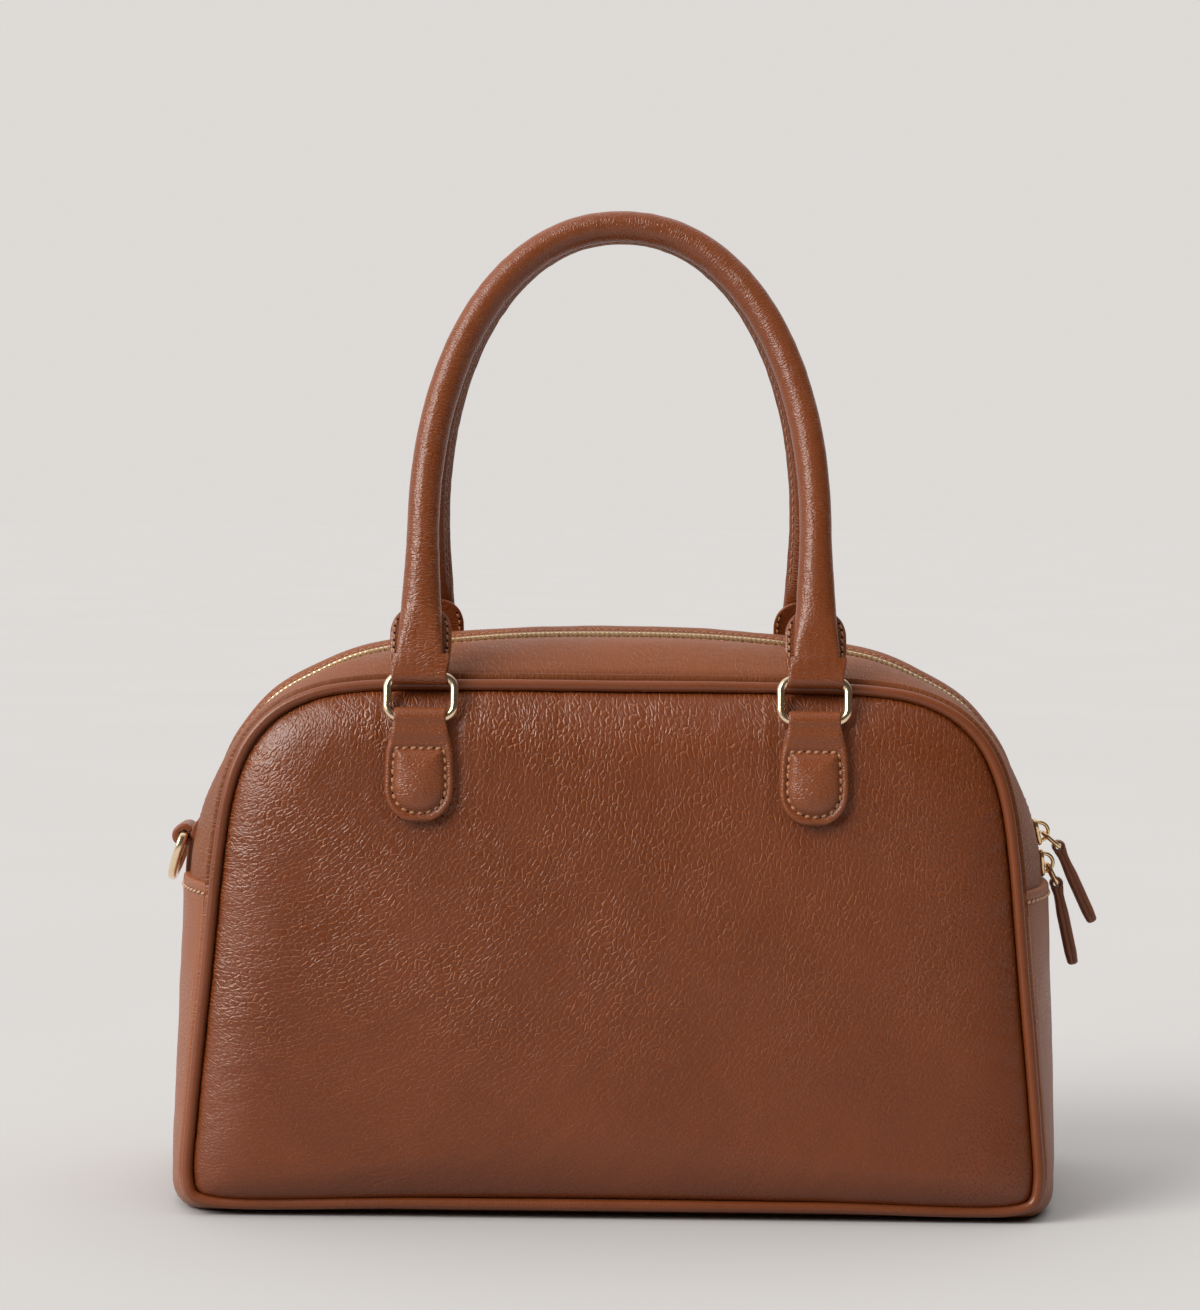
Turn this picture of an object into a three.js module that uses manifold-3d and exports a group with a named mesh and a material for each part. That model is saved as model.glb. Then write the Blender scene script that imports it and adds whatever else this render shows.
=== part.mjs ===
// Rounded zip-top leather bag with two rolled handles, four handle rings and a side D-ring.
// Millimetres. +X to the right, +Y to the back, +Z up, origin on the ground under the middle.
import * as THREE from 'three';
import { mergeVertices } from 'three/addons/utils/BufferGeometryUtils.js';
import Module from 'manifold-3d';

const wasm = await Module();
wasm.setup();

// ---------------------------------------------------------------- driving sizes
const WALL = 1.8;                 // leather wall
const GAP = 0.35;                 // air between neighbouring pieces
const LAP = WALL + GAP;           // the lower gusset laps outside the zip strips

const PIPING_R = 1.9;             // covered cord round each panel
const DEPTH_BASE = 63;            // half depth between the pipings at the base
const DEPTH_TOP = 48;             // and at the top
const PIPING_BASE_Z = 4.8;
const PIPING_TOP_Z = 179.3;

const PANEL_INSET = 2.6;          // panel edge from the middle of the piping
const PANEL_MID_Z = 88;
const PANEL_SINK = 1.2;           // panel edge behind the piping
const PANEL_ROLL = 3.0;           // how far the panel rolls out past the piping
const PANEL_ROLL_LENGTH = 5.5;
const PANEL_DOME = 2.6;           // extra fullness in the middle
const PANEL_DOME_HALF = 152;
const PANEL_DOME_RISE = 104;

const ZIP_EDGE = 2.4;             // zip strip edge from the piping's plane
const GUSSET_SHARE = 0.975;       // lower gusset reaches this share of the way to the piping
const ZIP_SLOT = 4.0;             // zip strips end this far from the middle
const TAPE_HALF = 8.0;
const TAPE_T = 1.0;
const TAPE_DROP = 0.8;            // air between zip strips and tape
const TEETH_HALF = 2.3;
const TEETH_TOP = 0.2;

const RING_W = 25.4;              // handle ring, outside
const RING_H = 17.1;
const RING_WIRE_R = 1.4;
const RING_CORNER = 3.0;          // corner radius on the wire's middle line
const RING_X = 66.4;
const PIVOT_Y = -57.3;            // lower bar of the front rings
const PIVOT_Z = 168.5;

const TAB_T = 3.4;                // handle tab, two layers
const TAB_LOOP_LEATHER = 1.7;
const LOOP_W = 16.2;              // leather loops inside the rings

const HANDLE_R = 5.4;             // rolled handle
const HANDLE_X = 67.0;
const HANDLE_APEX = 176.8;        // middle line of the arch, from the lower bar along the lean
const HANDLE_SPRING = 66;         // where the legs start to bend
const HANDLE_POWER = 2.12;        // roundness of the arch
const HANDLE_TOUCH = 1.0;         // air between the two handles at the top
const STRAP_W = 19.6;             // flat strap end above the ring
const STRAP_TOP = 24;
const STRAP_LEATHER = 1.5;
const TONGUE_W = 21;              // strap end folded up behind the handle
const TONGUE_TOP = 39.5;

const D_WIRE_R = 1.5;             // side D-ring
const D_LOOP_LEATHER = 1.6;
const D_LOOP_W = 17;
const D_TILT = THREE.MathUtils.degToRad(18);

const SLIDER_L = 9.6;
const SLIDER_W = 8.2;
const SLIDER_T = 1.5;
const BRIDGE_R = 3.9;             // bow on the slider, outside
const BRIDGE_IN = 2.5;
const BRIDGE_W = 2.2;
const LINK_W = 9.2;               // link between bow and leather pull, on its middle line
const LINK_L = 7.5;
const LINK_R = 0.75;
const PULL_W = 6.2;
const PULL_L = 29.5;
const PULL_HALF_T = 1.75;
const PULL_LOOP_R = 2.4;

// One row for each station up the right half, from the middle of the base to the middle of the top.
// half, z: the piping; crownHalf, crownZ: the gusset at mid depth; flat: share of the depth that stays flat.
const SECTIONS = [
  { half: 0, z: 4.8, crownHalf: 0, crownZ: 2.15, flat: 0.8 },
  { half: 70, z: 4.8, crownHalf: 71, crownZ: 2.15, flat: 0.8 },
  { half: 136.5, z: 4.8, crownHalf: 142, crownZ: 2.15, flat: 0.8 },
  { half: 141.8, z: 7.0, crownHalf: 149, crownZ: 4.8, flat: 0.55 },
  { half: 143.5, z: 13.5, crownHalf: 151.0, crownZ: 13, flat: 0.3 },
  { half: 142.6, z: 31, crownHalf: 151.6, crownZ: 31, flat: 0.15 },
  { half: 140.9, z: 52, crownHalf: 151.2, crownZ: 52, flat: 0.1 },
  { half: 138.4, z: 80, crownHalf: 150.1, crownZ: 80, flat: 0.1 },
  { half: 136.6, z: 102, crownHalf: 149.7, crownZ: 102, flat: 0.1 },
  { half: 135.9, z: 110.5, crownHalf: 149.4, crownZ: 110.5, flat: 0.1 },
  { half: 134.8, z: 122, crownHalf: 148.2, crownZ: 122, flat: 0.1 },
  { half: 132.5, z: 138.5, crownHalf: 143.8, crownZ: 138.5, flat: 0.08 },
  { half: 129.2, z: 150.8, crownHalf: 138.6, crownZ: 151.5, flat: 0.05 },
  { half: 123.8, z: 161.2, crownHalf: 131.6, crownZ: 162.5, flat: 0.05 },
  { half: 115.3, z: 169.7, crownHalf: 121.6, crownZ: 173.6, flat: 0.05 },
  { half: 103, z: 175.6, crownHalf: 107.5, crownZ: 182, flat: 0.05 },
  { half: 87, z: 178.4, crownHalf: 89, crownZ: 189.6, flat: 0.05 },
  { half: 45, z: 179.3, crownHalf: 45, crownZ: 195.6, flat: 0.05 },
  { half: 0, z: 179.3, crownHalf: 0, crownZ: 197.1, flat: 0.05 },
];
const FLAP_ROW = 9;               // top edge of the lower gusset
const UNDER_ROW = 8;              // zip strips run on under it
const STEPS_PER_ROW = 2;

// Handle tab from its round lower end to the fold; lift: how far it stands off the panel.
const TAB_ROWS = [
  { z: 133.8, half: 3.6, lift: 0 },
  { z: 135.3, half: 7.2, lift: 0 },
  { z: 138.6, half: 10.1, lift: 0 },
  { z: 144, half: 11.6, lift: 0 },
  { z: 150, half: 11.7, lift: 0 },
  { z: 157, half: 10.6, lift: 0.2 },
  { z: 162, half: 9.3, lift: 1.2 },
  { z: 166, half: 8.8, lift: 2.9 },
];

// Handle leg above the strap end: half width across and half thickness.
const LEG_ROWS = [
  { w: 20.5, half: 7.4, thick: 3.1 },
  { w: 28, half: 7.35, thick: 3.9 },
  { w: 42, half: 6.85, thick: 4.7 },
  { w: 55, half: 6.0, thick: 5.2 },
  { w: HANDLE_SPRING, half: 5.5, thick: HANDLE_R },
];

// Side D-ring: half width at each drop from its straight bar.
const D_ROWS = [
  { across: 5, drop: 0 },
  { across: 9.4, drop: 0 },
  { across: 11.2, drop: 0.9 },
  { across: 11.9, drop: 3.6 },
  { across: 10.8, drop: 8.6 },
  { across: 6.6, drop: 13.4 },
];
const D_DROP = 15.4;

// Zip sliders: station on the zip, and how far link and pull stand off the vertical.
const SLIDERS = [
  { name: 'upper', row: 10.28, linkLean: 50, pullLean: 25 },
  { name: 'lower', row: 9.48, linkLean: 27, pullLean: 12.5 },
];

// ---------------------------------------------------------------- geometry helpers
function solid(positions, index) {
  let volume = 0;
  const v = (i) => new THREE.Vector3(positions[3 * i], positions[3 * i + 1], positions[3 * i + 2]);
  for (let i = 0; i < index.length; i += 3) volume += v(index[i]).dot(v(index[i + 1]).cross(v(index[i + 2])));
  if (volume < 0) for (let i = 0; i < index.length; i += 3) [index[i + 1], index[i + 2]] = [index[i + 2], index[i + 1]];
  const geometry = new THREE.BufferGeometry();
  geometry.setAttribute('position', new THREE.Float32BufferAttribute(positions, 3));
  geometry.setIndex(index);
  geometry.computeVertexNormals();
  return geometry;
}

const flatten = (points) => points.flatMap((p) => [p.x, p.y, p.z]);

// Closed wall between two matching grids of points.
function shell(outer, inner) {
  const rows = outer.length, cols = outer[0].length, index = [];
  const o = (i, j) => i * cols + j, n = (i, j) => (rows + i) * cols + j;
  const quad = (a, b, c, d) => index.push(a, b, c, a, c, d);
  for (let i = 0; i < rows - 1; i++) {
    for (let j = 0; j < cols - 1; j++) {
      quad(o(i, j), o(i + 1, j), o(i + 1, j + 1), o(i, j + 1));
      quad(n(i, j), n(i, j + 1), n(i + 1, j + 1), n(i + 1, j));
    }
    quad(o(i, 0), n(i, 0), n(i + 1, 0), o(i + 1, 0));
    quad(o(i, cols - 1), o(i + 1, cols - 1), n(i + 1, cols - 1), n(i, cols - 1));
  }
  for (let j = 0; j < cols - 1; j++) {
    quad(o(0, j), o(0, j + 1), n(0, j + 1), n(0, j));
    quad(o(rows - 1, j), n(rows - 1, j), n(rows - 1, j + 1), o(rows - 1, j + 1));
  }
  return solid(flatten([...outer.flat(), ...inner.flat()]), index);
}

// Closed dished wall: rings of points from the edge inwards, and a middle point, on both faces.
function dish(outer, inner, outerMiddle, innerMiddle) {
  const rings = outer.length, count = outer[0].length, index = [];
  const o = (r, i) => r * count + (i % count), n = (r, i) => (rings + r) * count + (i % count);
  const mo = 2 * rings * count, mi = mo + 1;
  const quad = (a, b, c, d) => index.push(a, b, c, a, c, d);
  for (let i = 0; i < count; i++) {
    for (let r = 0; r < rings - 1; r++) {
      quad(o(r, i), o(r, i + 1), o(r + 1, i + 1), o(r + 1, i));
      quad(n(r, i), n(r + 1, i), n(r + 1, i + 1), n(r, i + 1));
    }
    index.push(o(rings - 1, i), o(rings - 1, i + 1), mo, n(rings - 1, i + 1), n(rings - 1, i), mi);
    quad(o(0, i + 1), o(0, i), n(0, i), n(0, i + 1));
  }
  return solid(flatten([...outer.flat(), ...inner.flat(), outerMiddle, innerMiddle]), index);
}

// Closed body through a row of matching convex sections.
function loft(sections) {
  const count = sections[0].length, last = sections.length - 1, index = [];
  const at = (k, i) => k * count + (i % count);
  for (let k = 0; k < last; k++) {
    for (let i = 0; i < count; i++) {
      index.push(at(k, i), at(k, i + 1), at(k + 1, i + 1), at(k, i), at(k + 1, i + 1), at(k + 1, i));
    }
  }
  for (let i = 1; i < count - 1; i++) {
    index.push(at(0, 0), at(0, i + 1), at(0, i));
    index.push(at(last, 0), at(last, i), at(last, i + 1));
  }
  return solid(flatten(sections.flat()), index);
}

// Closed hoop through a ring of matching sections.
function hoop(sections) {
  const count = sections[0].length, index = [];
  const at = (k, i) => (k % sections.length) * count + (i % count);
  for (let k = 0; k < sections.length; k++) {
    for (let i = 0; i < count; i++) {
      index.push(at(k, i), at(k, i + 1), at(k + 1, i + 1), at(k, i), at(k + 1, i + 1), at(k + 1, i));
    }
  }
  return solid(flatten(sections.flat()), index);
}

function bare(geometry) {
  const copy = geometry.clone();
  copy.deleteAttribute('normal');
  copy.deleteAttribute('uv');
  return mergeVertices(copy, 1e-4);
}

function toManifold(geometry) {
  const g = bare(geometry);
  return new wasm.Manifold(new wasm.Mesh({
    numProp: 3,
    vertProperties: new Float32Array(g.attributes.position.array),
    triVerts: new Uint32Array(g.index.array),
  }));
}

function joined(...geometries) {
  const mesh = geometries.map(toManifold).reduce((a, b) => a.add(b)).getMesh();
  return solid(Array.from(mesh.vertProperties), Array.from(mesh.triVerts));
}

const basis = (x, y, z, origin) => new THREE.Matrix4().makeBasis(x, y, z).setPosition(origin);
const V = (x, y, z) => new THREE.Vector3(x, y, z);

// Extruded outline, centred on its own plane.
function slab(shape, thickness, curveSegments = 6) {
  return new THREE.ExtrudeGeometry(shape, { depth: thickness, bevelEnabled: false, curveSegments })
    .translate(0, 0, -thickness / 2);
}

// The same outline read as (y, z) and run along x, or read as (x, z) and run along y.
const ALONG_X = basis(V(0, 1, 0), V(0, 0, 1), V(1, 0, 0), V(0, 0, 0));
const ALONG_Y = basis(V(1, 0, 0), V(0, 0, 1), V(0, -1, 0), V(0, 0, 0));

function roundedRect(width, low, high, radius) {
  const s = new THREE.Shape(), h = width / 2;
  s.moveTo(-h + radius, low).lineTo(h - radius, low);
  s.absarc(h - radius, low + radius, radius, -Math.PI / 2, 0, false);
  s.absarc(h - radius, high - radius, radius, 0, Math.PI / 2, false);
  s.absarc(-h + radius, high - radius, radius, Math.PI / 2, Math.PI, false);
  s.absarc(-h + radius, low + radius, radius, Math.PI, 1.5 * Math.PI, false);
  return s;
}

function annulus(cx, cy, outer, inner) {
  const s = new THREE.Shape();
  s.absarc(cx, cy, outer, 0, 2 * Math.PI, false);
  const hole = new THREE.Path();
  hole.absarc(cx, cy, inner, 0, 2 * Math.PI, true);
  s.holes.push(hole);
  return s;
}

// Rounded rectangle of wire in its own x-z plane, lower bar on the origin.
class WireLoop extends THREE.Curve {
  constructor(width, height, radius) {
    super();
    const line = roundedRect(width, 0, height, radius);
    this.points = line.getSpacedPoints(240);
  }
  getPoint(t, target = new THREE.Vector3()) {
    const f = ((t % 1) + 1) % 1 * (this.points.length - 1), i = Math.floor(f);
    const a = this.points[i], b = this.points[Math.min(i + 1, this.points.length - 1)];
    return target.set(a.x + (b.x - a.x) * (f - i), 0, a.y + (b.y - a.y) * (f - i));
  }
}

// ---------------------------------------------------------------- outline of the body
const LOOP = [
  ...SECTIONS.map((s) => ({ ...s, side: 1 })),
  ...SECTIONS.slice(1, -1).reverse().map((s) => ({ ...s, side: -1 })),
];
const ROWS = LOOP.length;
const TOP_ROW = SECTIONS.length - 1;
const outline = (half, z) => new THREE.CatmullRomCurve3(
  LOOP.map((s) => V(s.side * s[half], 0, s[z])), true, 'centripetal');
const pipingLine = outline('half', 'z');
const crownLine = outline('crownHalf', 'crownZ');
const along = (curve, row) => curve.getPoint((((row % ROWS) + ROWS) % ROWS) / ROWS);
const mirrorRow = (row) => ROWS - row;

function flatAt(row) {
  const r = ((row % ROWS) + ROWS) % ROWS, i = Math.floor(r);
  return THREE.MathUtils.lerp(LOOP[i].flat, LOOP[(i + 1) % ROWS].flat, r - i);
}

const halfDepth = (z) => THREE.MathUtils.mapLinear(z, PIPING_BASE_Z, PIPING_TOP_Z, DEPTH_BASE, DEPTH_TOP);

// Gusset surface: across = -1 at the front piping, 0 at mid depth, 1 at the back piping.
function gussetBase(row, across) {
  const k = along(pipingLine, row), flat = flatAt(row);
  const a = Math.max(0, (Math.abs(across) - flat) / (1 - flat));
  const depth = halfDepth(k.z) - ZIP_EDGE;
  const crown = along(crownLine, row);
  crown.z = Math.max(crown.z, SECTIONS[0].crownZ);
  return k.lerp(crown, 1 - a * a).setY(across * depth);
}

function gusset(row, across, off) {
  const e = 1e-3;
  const dr = gussetBase(row + e, across).sub(gussetBase(row - e, across));
  const da = gussetBase(row, across + e).sub(gussetBase(row, across - e));
  return gussetBase(row, across).addScaledVector(da.cross(dr).normalize(), off);
}

const acrossOf = (row, y) => y / (halfDepth(along(pipingLine, row).z) - ZIP_EDGE);
const range = (from, to, steps) => Array.from({ length: steps + 1 }, (_, i) => from + (to - from) * i / steps);

// ---------------------------------------------------------------- panels and piping
const EDGE_POINTS = range(0, ROWS, ROWS * 8).slice(0, -1).map((row) => along(pipingLine, row));

// How far (x, z) lies inside the piping, along the ray from the middle of the panel.
function insetOf(x, z) {
  const dx = x, dz = z - PANEL_MID_Z, r = Math.hypot(dx, dz);
  if (r < 1e-6) return 1e3;
  for (let i = 0; i < EDGE_POINTS.length; i++) {
    const a = EDGE_POINTS[i], b = EDGE_POINTS[(i + 1) % EDGE_POINTS.length];
    const ca = dx * (a.z - PANEL_MID_Z) - dz * a.x, cb = dx * (b.z - PANEL_MID_Z) - dz * b.x;
    if (ca * cb > 0 || ca === cb) continue;
    const f = ca / (ca - cb), px = a.x + (b.x - a.x) * f, pz = a.z + (b.z - a.z) * f - PANEL_MID_Z;
    if (px * dx + pz * dz > 0) return Math.hypot(px, pz) - r;
  }
  return 0;
}

// Outer face of a panel, as a distance from mid depth.
function panelFace(x, z) {
  const roll = 1 - Math.exp(-Math.max(0, insetOf(x, z) - PANEL_INSET) / PANEL_ROLL_LENGTH);
  const dome = (1 - (x / PANEL_DOME_HALF) ** 2) * (1 - ((z - PANEL_MID_Z) / PANEL_DOME_RISE) ** 2);
  return halfDepth(z) - PANEL_SINK + roll * (PANEL_SINK + PANEL_ROLL + PANEL_DOME * dome);
}

// Rings of the panel: inset from the piping, or share of the way to the middle.
const PANEL_RINGS = [{ inset: PANEL_INSET }, { inset: 6 }, { inset: 13 }, { share: 0.42 }];

function panel(side) {
  const rows = range(0, ROWS, ROWS * STEPS_PER_ROW).slice(0, -1);
  const ringPoints = (ring, back) => rows.map((row) => {
    const p = along(pipingLine, row), way = V(-p.x, 0, PANEL_MID_Z - p.z), length = way.length();
    p.addScaledVector(way, (ring.inset ?? ring.share * length) / length);
    return p.setY(side * (panelFace(p.x, p.z) - back));
  });
  const middle = (back) => V(0, side * (panelFace(0, PANEL_MID_Z) - back), PANEL_MID_Z);
  return dish(PANEL_RINGS.map((r) => ringPoints(r, 0)), PANEL_RINGS.map((r) => ringPoints(r, WALL)), middle(0), middle(WALL));
}

function piping(side) {
  const at = (row) => { const p = along(pipingLine, row); return p.setY(side * halfDepth(p.z)); };
  return hoop(range(0, ROWS, ROWS * STEPS_PER_ROW).slice(0, -1).map((row) => {
    const run = at(row + 0.02).sub(at(row - 0.02)).normalize();
    const deep = V(0, 1, 0).addScaledVector(run, -run.y).normalize(), out = deep.clone().cross(run);
    return range(0, 2 * Math.PI, 6).slice(0, -1).map((q) => at(row)
      .addScaledVector(out, PIPING_R * Math.cos(q)).addScaledVector(deep, PIPING_R * Math.sin(q)));
  }));
}

// ---------------------------------------------------------------- gusset and zip
const band = (rows, acrossList, high, low) => shell(
  rows.map((row) => acrossList(row).map((a) => gusset(row, a, high))),
  rows.map((row) => acrossList(row).map((a) => gusset(row, a, low))));

function lowerGusset() {
  const from = mirrorRow(FLAP_ROW), to = ROWS + FLAP_ROW;
  const shares = [-GUSSET_SHARE, -0.88, -0.7, -0.36, 0, 0.36, 0.7, 0.88, GUSSET_SHARE];
  return band(range(from, to, (to - from) * STEPS_PER_ROW), () => shares, LAP, LAP - WALL);
}

const ZIP_ROWS = range(UNDER_ROW, mirrorRow(UNDER_ROW), (mirrorRow(UNDER_ROW) - UNDER_ROW) * STEPS_PER_ROW);

function zipStrip(side) {
  return band(ZIP_ROWS, (row) => range(side, side * acrossOf(row, ZIP_SLOT), 3), 0, -WALL);
}

function zipTape() {
  return band(ZIP_ROWS, (row) => range(-acrossOf(row, TAPE_HALF), acrossOf(row, TAPE_HALF), 2),
    -WALL - TAPE_DROP, -WALL - TAPE_DROP - TAPE_T);
}

function zipTeeth() {
  const rows = range(FLAP_ROW + 0.1, mirrorRow(FLAP_ROW + 0.1), (mirrorRow(FLAP_ROW) - FLAP_ROW) * STEPS_PER_ROW);
  return band(rows, (row) => range(-acrossOf(row, TEETH_HALF), acrossOf(row, TEETH_HALF), 1), TEETH_TOP, -WALL);
}

// ---------------------------------------------------------------- handle tabs, rings and handles
function handleTab() {
  const columns = range(-1, 1, 4);
  const face = (depth) => TAB_ROWS.map((r) => columns.map((c) =>
    V(RING_X + c * r.half, -(panelFace(RING_X + c * r.half, r.z) + GAP + r.lift + depth), r.z)));
  const fold = slab(annulus(PIVOT_Y, PIVOT_Z, RING_WIRE_R + GAP + TAB_LOOP_LEATHER, RING_WIRE_R + GAP), LOOP_W, 8)
    .applyMatrix4(ALONG_X).translate(RING_X, 0, 0);
  return joined(shell(face(TAB_T), face(0)), fold);
}

const RING_BAR = RING_H - 2 * RING_WIRE_R;   // lower bar to upper bar
const wireRing = () => new THREE.TubeGeometry(
  new WireLoop(RING_W - 2 * RING_WIRE_R, RING_BAR, RING_CORNER), 28, RING_WIRE_R, 6, true);

// Handle in its own frame: lower bars on the x axis, z up along the lean, y to the back.
function handle() {
  const sides = 8;
  const stations = [];
  for (const r of LEG_ROWS) stations.push({ x: HANDLE_X, z: r.w, tx: 0, tz: 1, half: r.half, thick: r.thick });
  const arch = (q) => V(
    HANDLE_X * Math.sign(Math.cos(q)) * Math.abs(Math.cos(q)) ** (2 / HANDLE_POWER), 0,
    HANDLE_SPRING + (HANDLE_APEX - HANDLE_SPRING) * Math.abs(Math.sin(q)) ** (2 / HANDLE_POWER));
  const bends = 18;
  for (let i = 1; i < bends; i++) {
    const q = Math.PI * i / bends, p = arch(q), t = arch(q + 0.02).sub(arch(q - 0.02)).normalize();
    stations.push({ x: p.x, z: p.z, tx: t.x, tz: t.z, half: HANDLE_R, thick: HANDLE_R });
  }
  for (const r of [...LEG_ROWS].reverse()) stations.push({ x: -HANDLE_X, z: r.w, tx: 0, tz: -1, half: r.half, thick: r.thick });
  const roll = loft(stations.map((s) => range(0, 2 * Math.PI, sides).slice(0, -1).map((q) => V(
    s.x + s.tz * s.half * Math.cos(q + Math.PI / sides), s.thick * Math.sin(q + Math.PI / sides),
    s.z - s.tx * s.half * Math.cos(q + Math.PI / sides)))));

  const inR = RING_WIRE_R + GAP, outR = inR + STRAP_LEATHER;
  const ends = [HANDLE_X, -HANDLE_X].flatMap((x) => {
    const fold = new THREE.Shape();
    fold.moveTo(outR, RING_BAR).lineTo(outR, STRAP_TOP - 3).lineTo(-outR, STRAP_TOP - 3).lineTo(-outR, RING_BAR);
    fold.absarc(0, RING_BAR, outR, Math.PI, 2 * Math.PI, false);
    const slot = new THREE.Path();
    slot.moveTo(inR, RING_BAR).lineTo(inR, RING_BAR + 3).lineTo(-inR, RING_BAR + 3).lineTo(-inR, RING_BAR);
    slot.absarc(0, RING_BAR, inR, Math.PI, 2 * Math.PI, false);
    fold.holes.push(slot);
    const strap = roundedRect(2 * outR, RING_BAR + RING_WIRE_R + 2, STRAP_TOP, 1);
    const tongue = roundedRect(TONGUE_W, RING_BAR + RING_WIRE_R + 2, TONGUE_TOP, 7);
    return [
      slab(fold, LOOP_W, 8).applyMatrix4(ALONG_X).translate(x, 0, 0),
      slab(strap, STRAP_W, 3).applyMatrix4(ALONG_X).translate(x, 0, 0),
      slab(tongue, STRAP_LEATHER, 4).applyMatrix4(ALONG_Y).translate(x, inR + STRAP_LEATHER / 2 + 0.6, 0),
    ];
  });
  return joined(roll, ...ends);
}

// ---------------------------------------------------------------- side D-ring and its leather loop
const D_ROW = mirrorRow(10.02);
const D_LOOP_IN = D_WIRE_R + GAP;
const D_LOOP_OUT = D_LOOP_IN + D_LOOP_LEATHER;
const D_PIVOT = gusset(D_ROW, 0, GAP + D_LOOP_OUT);

function sideTab() {
  const rows = range(mirrorRow(FLAP_ROW + 0.06), D_ROW, 3);
  const tail = new THREE.Shape([
    ...rows.map((row) => gusset(row, 0, GAP + D_LOOP_LEATHER)),
    ...[...rows].reverse().map((row) => gusset(row, 0, GAP)),
  ].map((p) => new THREE.Vector2(p.x, p.z)));
  const loop = annulus(D_PIVOT.x, D_PIVOT.z, D_LOOP_OUT, D_LOOP_IN);
  return joined(...[tail, loop].map((s) => slab(s, D_LOOP_W, 8).applyMatrix4(ALONG_Y)));
}

function dRing() {
  const points = [
    ...D_ROWS.map((r) => V(0, r.across, -r.drop)),
    V(0, 0, -D_DROP),
    ...[...D_ROWS].reverse().map((r) => V(0, -r.across, -r.drop)),
  ];
  return new THREE.TubeGeometry(new THREE.CatmullRomCurve3(points, true, 'centripetal'), 28, D_WIRE_R, 6, true);
}

// ---------------------------------------------------------------- zip sliders, links and pulls
const leanOut = (degrees) => {
  const a = THREE.MathUtils.degToRad(degrees);
  return V(Math.sin(a), 0, -Math.cos(a));
};

function slider(spec) {
  const base = gusset(spec.row, 0, TEETH_TOP + GAP);
  const down = gusset(spec.row - 0.05, 0, 0).sub(gusset(spec.row + 0.05, 0, 0)).normalize();
  const across = V(0, 1, 0), out = down.clone().cross(across);
  const frame = basis(down, across, out, base);
  const plate = slab(roundedRect(SLIDER_L, -SLIDER_W / 2, SLIDER_W / 2, 2.4), SLIDER_T, 3).translate(0, 0, SLIDER_T / 2);
  const bow = new THREE.Shape();
  bow.absarc(0, SLIDER_T, BRIDGE_R, 0, Math.PI, false);
  bow.lineTo(-BRIDGE_R, SLIDER_T - 0.6).lineTo(-BRIDGE_IN, SLIDER_T - 0.6);
  bow.absarc(0, SLIDER_T, BRIDGE_IN, Math.PI, 0, true);
  bow.lineTo(BRIDGE_IN, SLIDER_T - 0.6).lineTo(BRIDGE_R, SLIDER_T - 0.6);
  const body = joined(plate, slab(bow, BRIDGE_W, 8).applyMatrix4(ALONG_Y)).applyMatrix4(frame);

  const linkWay = leanOut(spec.linkLean), pullWay = leanOut(spec.pullLean);
  const hook = base.clone().addScaledVector(out, SLIDER_T + LINK_R + GAP).addScaledVector(down, 0.7);
  const link = new THREE.TubeGeometry(new WireLoop(LINK_W, LINK_L, 1.6), 18, LINK_R, 5, true)
    .applyMatrix4(basis(across, linkWay.clone().cross(across), linkWay, hook));

  const tail = new THREE.Shape();
  tail.absarc(0, 0, PULL_LOOP_R, -0.75, Math.PI + 0.75, false);
  tail.lineTo(-PULL_HALF_T, -4).lineTo(-PULL_HALF_T, -PULL_L + 1.2);
  tail.lineTo(-PULL_HALF_T + 1, -PULL_L).lineTo(PULL_HALF_T - 1, -PULL_L);
  tail.lineTo(PULL_HALF_T, -PULL_L + 1.2).lineTo(PULL_HALF_T, -4);
  const eye = new THREE.Path();
  eye.absarc(0, 0, LINK_R + GAP, 0, 2 * Math.PI, true);
  tail.holes.push(eye);
  const up = pullWay.clone().negate();
  const pull = slab(tail, PULL_W, 6)
    .applyMatrix4(basis(up.clone().cross(across), up, across, hook.clone().addScaledVector(linkWay, LINK_L)));
  return { body, link, pull };
}

// ---------------------------------------------------------------- finishes and assembly
const leather = (colour) => new THREE.MeshStandardMaterial({ color: colour, roughness: 0.55, metalness: 0 });
const bodyLeather = () => leather(0x8c5032);
const trimLeather = () => leather(0x7d4529);
const gold = () => new THREE.MeshStandardMaterial({ color: 0xd8b878, roughness: 0.25, metalness: 1 });
const cloth = () => new THREE.MeshStandardMaterial({ color: 0x5d3a26, roughness: 0.9, metalness: 0 });

const bag = new THREE.Group();
function add(parent, name, geometry, material) {
  const mesh = new THREE.Mesh(geometry, material);
  mesh.name = name;
  parent.add(mesh);
  return mesh;
}

add(bag, 'front_panel', panel(-1), bodyLeather());
add(bag, 'back_panel', panel(1), bodyLeather());
add(bag, 'piping_front', piping(-1), trimLeather());
add(bag, 'piping_back', piping(1), trimLeather());
add(bag, 'gusset_lower', lowerGusset(), bodyLeather());
add(bag, 'zip_strip_front', zipStrip(-1), bodyLeather());
add(bag, 'zip_strip_back', zipStrip(1), bodyLeather());
add(bag, 'zip_tape', zipTape(), cloth());
add(bag, 'zip_teeth', zipTeeth(), gold());

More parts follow.
